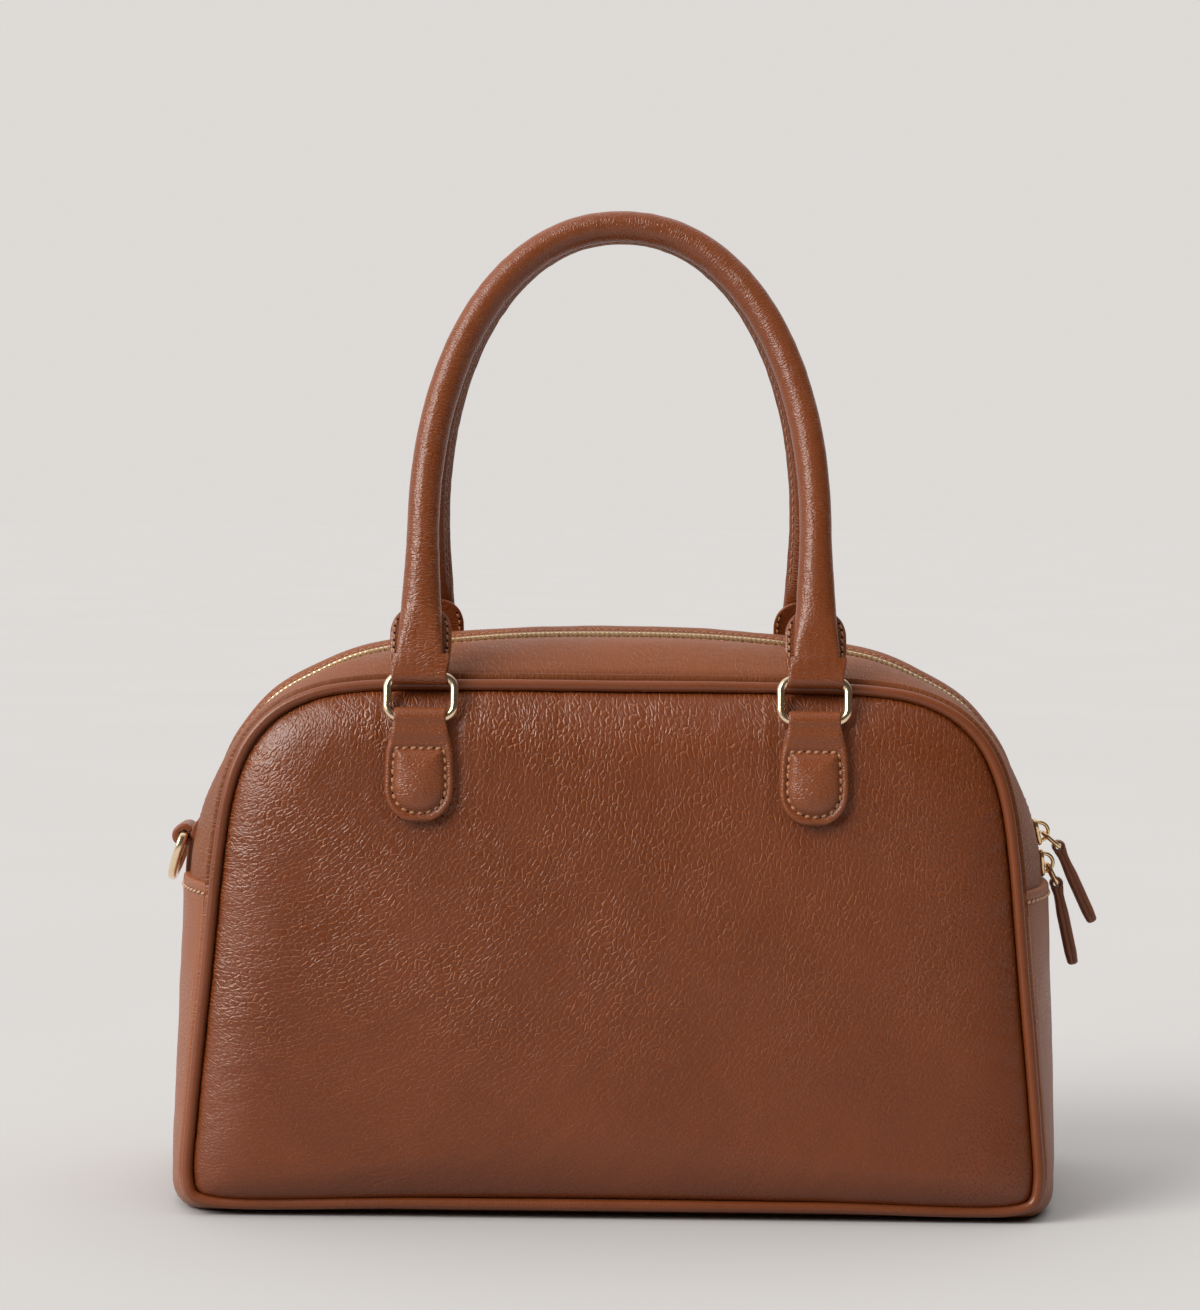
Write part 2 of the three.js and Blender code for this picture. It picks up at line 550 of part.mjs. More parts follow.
const lean = Math.asin((-PIVOT_Y - HANDLE_R - HANDLE_TOUCH / 2) / HANDLE_APEX);
for (const face of ['front', 'back']) {
  const half = new THREE.Group();
  half.rotation.z = face === 'front' ? 0 : Math.PI;
  bag.add(half);
  const swing = new THREE.Group();
  swing.position.set(0, PIVOT_Y, PIVOT_Z);
  swing.rotation.x = -lean;
  half.add(swing);
  add(swing, `handle_${face}`, handle(), trimLeather());
  for (const x of [RING_X, -RING_X]) {
    const side = (x > 0) === (face === 'front') ? 'right' : 'left';
    add(swing, `ring_${face}_${side}`, wireRing(), gold()).position.x = x;
    const tab = add(half, `handle_tab_${face}_${side}`, handleTab(), trimLeather());
    tab.position.x = x - RING_X;
  }
}

add(bag, 'side_tab_left', sideTab(), trimLeather());
const ringSwing = new THREE.Group();
ringSwing.position.copy(D_PIVOT);
ringSwing.rotation.y = D_TILT;
bag.add(ringSwing);
add(ringSwing, 'd_ring_left', dRing(), gold());

for (const spec of SLIDERS) {
  const { body, link, pull } = slider(spec);
  add(bag, `zip_slider_${spec.name}`, body, gold());
  add(bag, `pull_link_${spec.name}`, link, gold());
  add(bag, `zip_pull_${spec.name}`, pull, trimLeather());
}

export default bag;
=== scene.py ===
import math

import bmesh
import bpy
import numpy as np
from mathutils import Matrix, Vector


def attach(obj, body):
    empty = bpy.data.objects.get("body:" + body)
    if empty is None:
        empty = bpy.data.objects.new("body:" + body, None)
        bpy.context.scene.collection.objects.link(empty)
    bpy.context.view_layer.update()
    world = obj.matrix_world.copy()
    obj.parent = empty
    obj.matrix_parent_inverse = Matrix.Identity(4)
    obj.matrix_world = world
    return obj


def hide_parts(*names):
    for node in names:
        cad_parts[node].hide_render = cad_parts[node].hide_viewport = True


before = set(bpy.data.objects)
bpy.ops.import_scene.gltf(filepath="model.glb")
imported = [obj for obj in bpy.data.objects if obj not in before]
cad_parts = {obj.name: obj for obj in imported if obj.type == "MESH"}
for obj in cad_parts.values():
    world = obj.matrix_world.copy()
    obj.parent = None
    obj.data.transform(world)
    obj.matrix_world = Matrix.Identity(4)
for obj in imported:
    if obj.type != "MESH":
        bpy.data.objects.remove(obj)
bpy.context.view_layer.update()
MM = 0.001


# ---------------------------------------------------------------- camera
def make_camera():
    """Level tripod view of the front, a little above the bag's shoulder, on a long lens."""
    far, high, aside = 1240.0, 241.7, 6.41
    focal_px, long_side_px = 3519.0, 1310.0
    pitch, yaw, roll = (math.radians(a) for a in (2.494, -0.369, 0.571))
    turn = Matrix.Rotation(-yaw, 3, "Z")
    right, up = Vector((1, 0, 0)), Vector((0, math.sin(pitch), math.cos(pitch)))
    right, up = right * math.cos(roll) + up * math.sin(roll), up * math.cos(roll) - right * math.sin(roll)
    right, up = turn @ right, turn @ up
    back = right.cross(up)
    place = turn @ Vector((-aside, -far, high)) * MM
    data = bpy.data.cameras.new("camera")
    data.sensor_fit, data.sensor_width = "AUTO", 36.0
    data.lens = focal_px * 36.0 / long_side_px
    data.clip_start, data.clip_end = 0.05, 100.0
    cam = bpy.data.objects.new("camera", data)
    bpy.context.scene.collection.objects.link(cam)
    cam.matrix_world = Matrix((
        (right.x, up.x, back.x, place.x), (right.y, up.y, back.y, place.y),
        (right.z, up.z, back.z, place.z), (0, 0, 0, 1)))
    bpy.context.scene.camera = cam


make_camera()

# ---------------------------------------------------------------- sizes, in mm, as in the frame
WALL, GAP = 1.8, 0.35
LAP = WALL + GAP
PIPING_R = 1.9
DEPTH_BASE, DEPTH_TOP, PIPING_BASE_Z, PIPING_TOP_Z = 63.0, 48.0, 4.8, 179.3
PANEL_MID_Z = 88.0
ZIP_EDGE, ZIP_SLOT, TAPE_HALF = 2.4, 4.0, 8.0
RING_W, RING_H, RING_WIRE_R, RING_CORNER, RING_X = 25.4, 17.1, 1.4, 3.0, 66.4
RING_BAR = RING_H - 2 * RING_WIRE_R
PIVOT_Y, PIVOT_Z = -57.3, 168.5
HANDLE_R, HANDLE_X, HANDLE_APEX, HANDLE_SPRING, HANDLE_POWER = 5.4, 67.0, 176.8, 66.0, 2.12
LEAN = math.asin((-PIVOT_Y - HANDLE_R - 0.5) / HANDLE_APEX)
FLAP_ROW, UNDER_ROW = 9.0, 8.0

# half, z: piping; crown_half, crown_z: gusset at mid depth; flat: share of the depth that stays flat
SECTIONS = np.array([
    (0, 4.8, 0, 2.15, 0.8), (70, 4.8, 71, 2.15, 0.8), (136.5, 4.8, 142, 2.15, 0.8),
    (141.8, 7.0, 149, 4.8, 0.55), (143.5, 13.5, 151, 13, 0.3), (142.6, 31, 151.6, 31, 0.15),
    (140.9, 52, 151.2, 52, 0.1), (138.4, 80, 150.1, 80, 0.1), (136.6, 102, 149.7, 102, 0.1),
    (135.9, 110.5, 149.4, 110.5, 0.1), (134.8, 122, 148.2, 122, 0.1), (132.5, 138.5, 143.8, 138.5, 0.08),
    (129.2, 150.8, 138.6, 151.5, 0.05), (123.8, 161.2, 131.6, 162.5, 0.05), (115.3, 169.7, 121.6, 173.6, 0.05),
    (103, 175.6, 107.5, 182, 0.05), (87, 178.4, 89, 189.6, 0.05), (45, 179.3, 45, 195.6, 0.05),
    (0, 179.3, 0, 197.1, 0.05)], float)


# ---------------------------------------------------------------- numeric helpers
def mirrored(half, z):
    right = np.stack([SECTIONS[:, half], SECTIONS[:, z]], 1)
    left = right[1:-1][::-1] * (-1, 1)
    return np.vstack([right, left])


PIPE, CROWN = mirrored(0, 1), mirrored(2, 3)
FLAT = np.concatenate([SECTIONS[:, 4], SECTIONS[1:-1, 4][::-1]])
ROWS = len(PIPE)


def mirror_row(row):
    return ROWS - row


def curve_at(points, rows):
    """Closed centripetal spline through points, read at fractional rows."""
    rows = np.asarray(rows, float)
    n, i = len(points), np.floor(rows).astype(int)
    w = (rows - i)[..., None]
    p0, p1, p2, p3 = (points[(i + k) % n] for k in (-1, 0, 1, 2))
    step = lambda a, b: np.maximum(((b - a) ** 2).sum(-1, keepdims=True), 1e-8) ** 0.25
    d0, d1, d2 = step(p0, p1), step(p1, p2), step(p2, p3)
    t1 = ((p1 - p0) / d0 - (p2 - p0) / (d0 + d1) + (p2 - p1) / d1) * d1
    t2 = ((p2 - p1) / d1 - (p3 - p1) / (d1 + d2) + (p3 - p2) / d2) * d1
    return p1 + t1 * w + (-3 * p1 + 3 * p2 - 2 * t1 - t2) * w ** 2 + (2 * p1 - 2 * p2 + t1 + t2) * w ** 3


def flat_at(rows):
    rows = np.asarray(rows, float)
    i = np.floor(rows).astype(int)
    w = rows - i
    p0, p1, p2, p3 = (FLAT[(i + k) % ROWS] for k in (-1, 0, 1, 2))
    out = 0.5 * (2 * p1 + (p2 - p0) * w + (2 * p0 - 5 * p1 + 4 * p2 - p3) * w ** 2 + (3 * p1 - p0 - 3 * p2 + p3) * w ** 3)
    return np.clip(out, 0.03, 0.85)


def half_depth(z):
    return DEPTH_BASE + (z - PIPING_BASE_Z) / (PIPING_TOP_Z - PIPING_BASE_Z) * (DEPTH_TOP - DEPTH_BASE)


FINE_ROWS = np.linspace(-ROWS, 2 * ROWS, 3 * ROWS * 200 + 1)
FINE_LENGTH = np.concatenate([[0], np.cumsum(np.linalg.norm(np.diff(curve_at(PIPE, FINE_ROWS), axis=0), axis=1))])


def length_at(row):
    return np.interp(row, FINE_ROWS, FINE_LENGTH)


def row_at(length):
    return np.interp(length, FINE_LENGTH, FINE_ROWS)


def even_rows(first, last, step, ends=()):
    """Rows at about even steps along the piping, with extra ones at the given distances from both ends."""
    a, b = length_at(first), length_at(last)
    s = np.linspace(a, b, max(2, int(round((b - a) / step)) + 1))
    if len(ends):
        ends = np.asarray(ends, float)
        keep = s[(s > a + ends.max() + 0.3 * step) & (s < b - ends.max() - 0.3 * step)]
        s = np.sort(np.concatenate([a + ends, keep, b - ends]))
    return row_at(s)


def unit(v):
    return v / np.maximum(np.linalg.norm(v, axis=-1, keepdims=True), 1e-12)


def gusset_base(row, across):
    row, across = np.broadcast_arrays(np.asarray(row, float), np.asarray(across, float))
    k, crown = curve_at(PIPE, row), curve_at(CROWN, row)
    crown[..., 1] = np.maximum(crown[..., 1], SECTIONS[0, 3])
    flat = flat_at(row)
    a = np.maximum(0, (np.abs(across) - flat) / (1 - flat))
    xz = k + (crown - k) * (1 - a * a)[..., None]
    y = across * (half_depth(k[..., 1]) - ZIP_EDGE)
    return np.stack([xz[..., 0], y, xz[..., 1]], -1)


def gusset_frame(row, across):
    """Point of the gusset surface and its outward normal."""
    e = 1e-3
    along = gusset_base(row + e, across) - gusset_base(row - e, across)
    over = gusset_base(row, across + e) - gusset_base(row, across - e)
    return gusset_base(row, across), unit(np.cross(over, along))


def across_of(row, y):
    return y / (half_depth(curve_at(PIPE, row)[..., 1]) - ZIP_EDGE)


def lattice_noise(x, y, seed):
    """Smooth noise from -1 to 1 on a unit lattice."""
    table = np.random.default_rng(seed).random((256, 256)) * 2 - 1
    x, y = np.broadcast_arrays(np.asarray(x, float), np.asarray(y, float))
    i, j = np.floor(x).astype(int), np.floor(y).astype(int)
    u, v = x - i, y - j
    u, v = u ** 3 * (u * (6 * u - 15) + 10), v ** 3 * (v * (6 * v - 15) + 10)
    at = lambda a, b: table[(i + a) % 256, (j + b) % 256]
    return (at(0, 0) * (1 - u) + at(1, 0) * u) * (1 - v) + (at(0, 1) * (1 - u) + at(1, 1) * u) * v


def smooth(x, low, high):
    t = np.clip((x - low) / (high - low), 0, 1)
    return t * t * (3 - 2 * t)


def bell(x, width):
    return np.exp(-(x / width) ** 2)


def spline1(xs, ys, x):
    """Smooth monotone curve through a short table."""
    xs, ys, x = np.asarray(xs, float), np.asarray(ys, float), np.asarray(x, float)
    h, d = np.diff(xs), np.diff(ys) / np.diff(xs)
    m = np.zeros_like(xs)
    m[1:-1] = np.where(d[:-1] * d[1:] > 0, 2 * d[:-1] * d[1:] / np.where(np.abs(d[:-1] + d[1:]) < 1e-12, 1, d[:-1] + d[1:]), 0)
    m[0], m[-1] = d[0], d[-1]
    i = np.clip(np.searchsorted(xs, x) - 1, 0, len(h) - 1)
    t = np.clip((x - xs[i]) / h[i], 0, 1)
    return (ys[i] * (2 * t ** 3 - 3 * t ** 2 + 1) + h[i] * m[i] * (t ** 3 - 2 * t ** 2 + t)
            + ys[i + 1] * (3 * t ** 2 - 2 * t ** 3) + h[i] * m[i + 1] * (t ** 3 - t ** 2))


def round_edge(d, radius):
    """Half thickness of a rounded edge at a distance d from it."""
    return np.sqrt(np.maximum(radius ** 2 - (radius - np.clip(d, 0, radius)) ** 2, (0.12 * radius) ** 2))


EDGE_STEPS = np.array([0, 0.04, 0.12, 0.24, 0.4, 0.6, 0.85, 1.15, 1.55])


def turn_x(p, angle):
    c, s = math.cos(angle), math.sin(angle)
    return np.stack([p[..., 0], p[..., 1] * c - p[..., 2] * s, p[..., 1] * s + p[..., 2] * c], -1)


def half_turn(p):
    return p * (-1, -1, 1)


# ---------------------------------------------------------------- meshes
class Form:
    """Closed bodies of one piece: points in mm, faces, and flow coordinates in mm for the finish."""

    def __init__(self):
        self.points, self.faces, self.flow, self.slots, self.count = [], [], [], [], 0

    def add(self, points, faces, flow, slot=0):
        self.points.append(np.asarray(points, float).reshape(-1, 3))
        self.faces.append(np.asarray(faces, int) + self.count)
        self.flow.append(np.asarray(flow, float))
        self.slots.append(np.full(len(faces), slot, int))
        self.count += len(self.points[-1])

    def loft(self, sections, flow=None, closed=False, slot=0):
        """Skin through matching closed sections (rows of points), capped at both ends or closed to a hoop."""
        s = np.asarray(sections, float)
        rows, cols = s.shape[:2]
        if flow is None:
            loop = np.concatenate([s, s[:, :1]], 1)
            u = np.concatenate([np.zeros((rows, 1)), np.cumsum(np.linalg.norm(np.diff(loop, axis=1), axis=2), 1)], 1)
            mid = np.concatenate([s, s[:1]], 0) if closed else s
            v = np.concatenate([[0], np.cumsum(np.linalg.norm(np.diff(mid, axis=0), axis=2).mean(1))])
            if closed:
                u = np.concatenate([u, u[:1]], 0)
            flow = np.stack([u, np.broadcast_to(v[:, None], u.shape)], -1)
        index = np.arange(rows * cols).reshape(rows, cols)
        index = np.concatenate([index, index[:, :1]], 1)
        if closed:
            index = np.concatenate([index, index[:1]], 0)
        corners = lambda g: np.stack([g[:-1, :-1], g[1:, :-1], g[1:, 1:], g[:-1, 1:]], 2)
        faces, f = corners(index).reshape(-1, 4), corners(flow).reshape(-1, 4, 2)
        points = s.reshape(-1, 3)
        first = self.count
        self.add(points, faces, f, slot)
        if not closed:
            for k, way in ((0, 1), (rows - 1, -1)):
                middle = s[k].mean(0)
                a = np.arange(cols) + k * cols
                b = np.roll(a, -1)
                tri = np.stack([np.full(cols, rows * cols), b, a] if way > 0 else [np.full(cols, rows * cols), a, b], 1)
                fa, fb, fm = flow[k, :cols], flow[k, 1:cols + 1], flow[k].mean(0)
                ft = np.stack([np.broadcast_to(fm, fa.shape), fb, fa] if way > 0 else [np.broadcast_to(fm, fa.shape), fa, fb], 1)
                self.points.append(middle[None])
                self.faces.append(np.where(tri == rows * cols, self.count, tri + first))
                self.flow.append(ft)
                self.slots.append(np.full(cols, slot, int))
                self.count += 1
        return self

    def moved(self, change):
        out = Form()
        out.points = [change(p) for p in self.points]
        out.faces, out.flow, out.slots, out.count = self.faces, self.flow, self.slots, self.count
        return out


def piece(name, form, materials, body, replaces=(), sharp=50.0, press=None):
    points = np.concatenate(form.points) * MM
    start, loops, flow = [], [], []
    at = 0
    for f, c in zip(form.faces, form.flow):
        k = f.shape[1]
        start.append(at + np.arange(len(f)) * k)
        loops.append(f.ravel())
        flow.append(c.reshape(-1, 2))
        at += f.size
    start, loops, flow = np.concatenate(start), np.concatenate(loops), np.concatenate(flow)
    slots = np.concatenate(form.slots)
    mesh = bpy.data.meshes.new(name)
    mesh.vertices.add(len(points))
    mesh.vertices.foreach_set("co", points.astype(np.float32).ravel())
    mesh.loops.add(len(loops))
    mesh.loops.foreach_set("vertex_index", loops.astype(np.int32))
    mesh.polygons.add(len(start))
    mesh.polygons.foreach_set("loop_start", start.astype(np.int32))
    mesh.polygons.foreach_set("material_index", slots.astype(np.int32))
    mesh.update(calc_edges=True)
    layer = mesh.uv_layers.new(name="flow")
    layer.uv.foreach_set("vector", flow.astype(np.float32).ravel())
    bm = bmesh.new()
    bm.from_mesh(mesh)
    bmesh.ops.recalc_face_normals(bm, faces=bm.faces)
    for f in bm.faces:
        f.smooth = True
    bm.to_mesh(mesh)
    bm.free()
    mesh.set_sharp_from_angle(angle=math.radians(sharp))
    if press is not None:
        mesh.attributes.new("press", "FLOAT", "POINT").data.foreach_set("value", np.asarray(press, np.float32))
    for m in materials if isinstance(materials, (list, tuple)) else [materials]:
        mesh.materials.append(m)
    ob = bpy.data.objects.new(name, mesh)
    bpy.context.scene.collection.objects.link(ob)
    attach(ob, body)
    if replaces:
        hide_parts(*([replaces] if isinstance(replaces, str) else replaces))
    return ob


def tube(form, path, side, radius, sides=12, closed=False, flat=1.0, slot=0):
    """Round wire along a path; side is a fixed direction across the path, flat squeezes the wire along it."""
    path = np.asarray(path, float)
    if closed:
        run = np.roll(path, -1, 0) - np.roll(path, 1, 0)
    else:
        run = np.gradient(path, axis=0)
    run = unit(run)
    a = np.broadcast_to(np.asarray(side, float), path.shape)
    a = unit(a - run * (a * run).sum(1, keepdims=True))
    b = np.cross(run, a)
    r = np.broadcast_to(np.asarray(radius, float), (len(path),))[:, None, None]
    q = np.arange(sides) * 2 * np.pi / sides
    s = path[:, None] + r * (a[:, None] * (flat * np.cos(q))[None, :, None] + b[:, None] * np.sin(q)[None, :, None])
    form.loft(s, closed=closed, slot=slot)
    return form


def even_path(path, step, closed=False):
    path = np.asarray(path, float)
    if closed:
        path = np.vstack([path, path[:1]])
    s = np.concatenate([[0], np.cumsum(np.linalg.norm(np.diff(path, axis=0), axis=1))])
    n = max(2, int(round(s[-1] / step)))
    t = np.linspace(0, s[-1], n + 1)
    out = np.stack([np.interp(t, s, path[:, k]) for k in range(path.shape[1])], 1)
    return out[:-1] if closed else out


def sew(form, path, normals, pitch=2.9, thread=0.33, fill=0.74, rise=0.16, slant=0.10, closed=False, holes=True):
    """Row of sewn stitches on a surface path: thread bows from hole to hole (slot 0), with the pricked holes as dark
    discs of painted shade (slot 1).
    """
    path, normals = np.asarray(path, float), np.asarray(normals, float)
    if closed:
        path, normals = np.vstack([path, path[:1]]), np.vstack([normals, normals[:1]])
    s = np.concatenate([[0], np.cumsum(np.linalg.norm(np.diff(path, axis=0), axis=1))])
    n = max(1, int(round(s[-1] / pitch)))
    pitch = s[-1] / n
    read = lambda t, a: np.stack([np.interp(t, s, a[:, k]) for k in range(3)], -1)
    steps, sides = 9, 7
    q = np.arange(sides) * 2 * np.pi / sides
    rng = np.random.default_rng(len(path) + n)
    for i in range(n):
        centre = (i + 0.5) * pitch
        t = np.linspace(-0.5, 0.5, steps) * fill * pitch
        p, up = read(centre + t, path), unit(read(centre + t, normals))
        run = unit(np.gradient(p, axis=0))
        left = unit(np.cross(up, run))
        bow = np.cos(np.linspace(-0.5, 0.5, steps) * np.pi * 1.12)
        lift = rise * bow - 0.20 + 0.20 * np.maximum(bow, 0) ** 0.5
        lean = slant * pitch * np.linspace(-1, 1, steps) * 0.5 * (1 + 0.25 * rng.standard_normal())
        mid = p + up * lift[:, None] + left * lean[:, None]
        r = thread * (1 - 0.30 * np.abs(np.linspace(-1, 1, steps)) ** 3)
        ring = mid[:, None] + r[:, None, None] * (left[:, None] * np.cos(q)[None, :, None] * 1.12 + up[:, None] * np.sin(q)[None, :, None])
        form.loft(ring, slot=0)
    if holes:
        for i in range(n if closed else n + 1):
            c, up = read(i * pitch, path), unit(read(i * pitch, normals))
            run = unit(read(min(i * pitch + 0.2, s[-1]), path) - read(max(i * pitch - 0.2, 0), path))
            left = unit(np.cross(up, run))
            k = np.arange(8) * np.pi / 4
            disc = lambda w, h: c + up * h + w * (0.54 * np.cos(k)[:, None] * run + 0.46 * np.sin(k)[:, None] * left)
            form.loft(np.stack([disc(0.5, -0.30), disc(1.0, -0.06), disc(0.86, 0.035), disc(0.25, 0.015)]), slot=1)
    return form


# ---------------------------------------------------------------- finishes
def shader(name):
    m = bpy.data.materials.new(name)
    m.use_nodes = True
    tree = m.node_tree
    tree.nodes.clear()
    out = tree.nodes.new("ShaderNodeOutputMaterial")
    bsdf = tree.nodes.new("ShaderNodeBsdfPrincipled")
    tree.links.new(bsdf.outputs["BSDF"], out.inputs["Surface"])

    def node(kind, ins=None, **props):
        n = tree.nodes.new("ShaderNode" + kind)
        for k, v in props.items():
            setattr(n, k, v)
        for k, v in (ins or {}).items():
            if isinstance(v, bpy.types.NodeSocket):
                tree.links.new(v, n.inputs[k])
            else:
                n.inputs[k].default_value = v
        return n

    def math_(op, a, b=None, clamp=False):
        ins = {0: a}
        if b is not None:
            ins[1] = b
        return node("Math", ins, operation=op, use_clamp=clamp).outputs[0]

    def ramp(value, low, high, to_low=0.0, to_high=1.0, kind="SMOOTHSTEP"):
        return node("MapRange", {"Value": value, "From Min": low, "From Max": high, "To Min": to_low, "To Max": to_high},
                    interpolation_type=kind).outputs["Result"]

    def mix(fac, a, b, blend="MIX"):
        n = node("Mix", {0: fac}, data_type="RGBA", blend_type=blend)
        for k, v in ((6, a), (7, b)):
            if isinstance(v, bpy.types.NodeSocket):
                tree.links.new(v, n.inputs[k])
            else:
                n.inputs[k].default_value = (*v, 1) if len(v) == 3 else v
        return n.outputs[2]

    def to(socket, value):
        tree.links.new(value, bsdf.inputs[socket])

    return m, bsdf, node, math_, ramp, mix, to


# colour of the painted highlight on the crease flanks
PAINTED_FLANK_HIGHLIGHT = (0.47, 0.190, 0.088)


def leather(name, colour, deep, pale, cell=(3.1, 1.95), small=(1.6, 1.15), depth=0.20, rough=(0.31, 0.43), fold=(8.5, 2.9),
            crease=0.60, pebble=0.24, folds=0.0, pores=0.0, mottle=0.06, specular=0.5, patch=(0.30, 1.0), gloss_patch=0.05,
            lines=0.5, fade=None, low=None, pressed=False):
    """Grained leather, with painted light in its colour. cell and small: size of the large and small grain in mm, along
    and across the wrinkles.
    lines: how pale the painted highlight on the crease flanks rising along the flow is, and how dark the painted shade
    on the falling flanks; fade: distance along the flow over which they die out;
    low: heights in mm between which the creases, with their painted highlight and shade, grow from faint to full;
    pressed: painted shade along the line pressed in beside the rolled edge."""
    m, bsdf, node, math_, ramp, mix, to = shader(name)
    flow = node("UVMap", uv_map="flow").outputs["UV"]
    # wrinkles wander
    drift = node("TexNoise", {"Vector": flow, "Scale": 0.085, "Detail": 2.0, "Roughness": 0.5}, noise_dimensions="2D")
    off = node("VectorMath", {0: drift.outputs["Color"], 1: (0.5, 0.5, 0.5)}, operation="SUBTRACT").outputs[0]
    off = node("VectorMath", {0: off, 1: (4.2, 4.2, 0.0)}, operation="MULTIPLY").outputs[0]
    bent = node("VectorMath", {0: flow, 1: off}, operation="ADD").outputs[0]
    jitter = node("TexNoise", {"Vector": flow, "Scale": 0.9, "Detail": 2.0}, noise_dimensions="2D")
    off2 = node("VectorMath", {0: jitter.outputs["Color"], 1: (0.5, 0.5, 0.5)}, operation="SUBTRACT").outputs[0]
    off2 = node("VectorMath", {0: off2, 1: (0.45, 0.45, 0.0)}, operation="MULTIPLY").outputs[0]
    bent = node("VectorMath", {0: bent, 1: off2}, operation="ADD").outputs[0]

    def cells(size, edge, seed, shift=0.0):
        """Distance to the nearest crease, and the raised field between creases."""
        v = node("VectorMath", {0: bent, 1: (1 / size[0], 1 / size[1], 0)}, operation="MULTIPLY").outputs[0]
        v = node("VectorMath", {0: v, 1: (seed, seed * 0.7 + shift / size[1], 0)}, operation="ADD").outputs[0]
        t = node("TexVoronoi", {"Vector": v, "Scale": 1.0, "Randomness": 0.82}, feature="DISTANCE_TO_EDGE", voronoi_dimensions="2D")
        return t.outputs["Distance"], ramp(t.outputs["Distance"], 0.0, edge)

    (edge_at, large), (_, little) = cells(cell, 0.30, 3.7), cells(small, 0.42, 11.3)
    # flanks of the creases, rising along the flow and falling: painted highlight and painted shade in the colour
    step = 0.15
    (ahead, _), (behind, _) = cells(cell, 0.30, 3.7, step), cells(cell, 0.30, 3.7, -step)
    rise = math_("SUBTRACT", ahead, behind)
    close = ramp(edge_at, 0.06, 0.20, 1.0, 0.0)
    top = 2 * step / cell[1]
    line = math_("MULTIPLY", close, ramp(rise, 0.20 * top, 0.85 * top))
    under = math_("MULTIPLY", close, ramp(math_("MULTIPLY", rise, -1.0), 0.20 * top, 0.85 * top))
    grain = node("TexNoise", {"Vector": flow, "Scale": 1.7, "Detail": 3.0, "Roughness": 0.62}, noise_dimensions="2D").outputs["Fac"]
    area = node("TexNoise", {"Vector": flow, "Scale": 0.030, "Detail": 2.0}, noise_dimensions="2D").outputs["Fac"]
    strength = ramp(area, 0.34, 0.60, patch[0], patch[1])
    broken = node("TexNoise", {"Vector": bent, "Scale": 0.33, "Detail": 1.0}, noise_dimensions="2D").outputs["Fac"]
    strength = math_("MULTIPLY", strength, ramp(broken, 0.30, 0.64, 0.35, 1.0))
    if fade:
        reach = node("SeparateXYZ", {0: flow}).outputs["Y"]
        strength = math_("MULTIPLY", strength, ramp(reach, fade[0], fade[1], 1.0, 0.48))
        strength = math_("MULTIPLY", strength, ramp(reach, 40.0, 130.0, 1.3, 1.0))
    if low:
        high = node("SeparateXYZ", {0: node("TexCoord").outputs["Object"]}).outputs["Z"]
        strength = math_("MULTIPLY", strength, ramp(high, low[0] * MM, low[1] * MM, 0.22, 1.0))
    tall = math_("MULTIPLY", math_("MULTIPLY", large, strength), crease)
    height = math_("ADD", tall, math_("MULTIPLY", little, pebble))
    height = math_("ADD", height, math_("MULTIPLY", grain, 0.06))
    if folds:
        other = node("TexNoise", {"Vector": flow, "Scale": 0.021, "Detail": 1.0, "W": 2.0}, noise_dimensions="4D").outputs["Fac"]
        _, long = cells(fold, 0.20, 5.1)
        height = math_("ADD", height, math_("MULTIPLY", math_("MULTIPLY", long, ramp(other, 0.40, 0.62)), folds))
    # colour: random tone and flecks; painted shade in the creases and on the falling crease flanks, painted highlight
    # on the rising flanks
    painted_crease_shade = math_("MULTIPLY", math_("SUBTRACT", 1.0, large), strength)
    tone = node("TexNoise", {"Vector": flow, "Scale": 0.022, "Detail": 3.0, "Roughness": 0.6}, noise_dimensions="2D").outputs["Fac"]
    fleck = node("TexNoise", {"Vector": flow, "Scale": 0.55, "Detail": 3.0, "Roughness": 0.65}, noise_dimensions="2D").outputs["Fac"]
    col = mix(ramp(tone, 0.30, 0.70, 0.0, 1.0), tuple(c * (1 - mottle) for c in colour), tuple(c * (1 + mottle) for c in colour))
    col = mix(ramp(fleck, 0.50, 0.78, 0.0, 0.25), col, pale)
    # painted shade in the large and small creases
    col = mix(math_("MULTIPLY", painted_crease_shade, 0.12), col, deep)
    col = mix(math_("MULTIPLY", math_("SUBTRACT", 1.0, little), 0.12), col, deep)
    # painted shade on the crease flanks falling along the flow
    col = mix(math_("MULTIPLY", math_("MULTIPLY", under, strength), min(1.0, lines * 0.60)), col, deep)
    # painted highlight on the crease flanks rising along the flow
    col = mix(math_("MULTIPLY", math_("MULTIPLY", line, strength), lines), col, PAINTED_FLANK_HIGHLIGHT)
    if pores:
        v = node("VectorMath", {0: bent, 1: (1 / 1.55, 1 / 1.45, 0)}, operation="MULTIPLY").outputs[0]
        dots = node("TexVoronoi", {"Vector": v, "Scale": 1.0, "Randomness": 0.75}, feature="F1", voronoi_dimensions="2D")
        spot = ramp(dots.outputs["Distance"], 0.10, 0.30, 1.0, 0.0)
        where = node("TexNoise", {"Vector": flow, "Scale": 0.016, "Detail": 1.0}, noise_dimensions="2D").outputs["Fac"]
        spot = math_("MULTIPLY", spot, ramp(where, 0.40, 0.58))
        if fade:
            spot = math_("MULTIPLY", spot, ramp(reach, fade[0] * 0.9, fade[1]))
        col = mix(math_("MULTIPLY", spot, pores), col, deep)
        height = math_("SUBTRACT", height, math_("MULTIPLY", spot, 0.35 * pores))
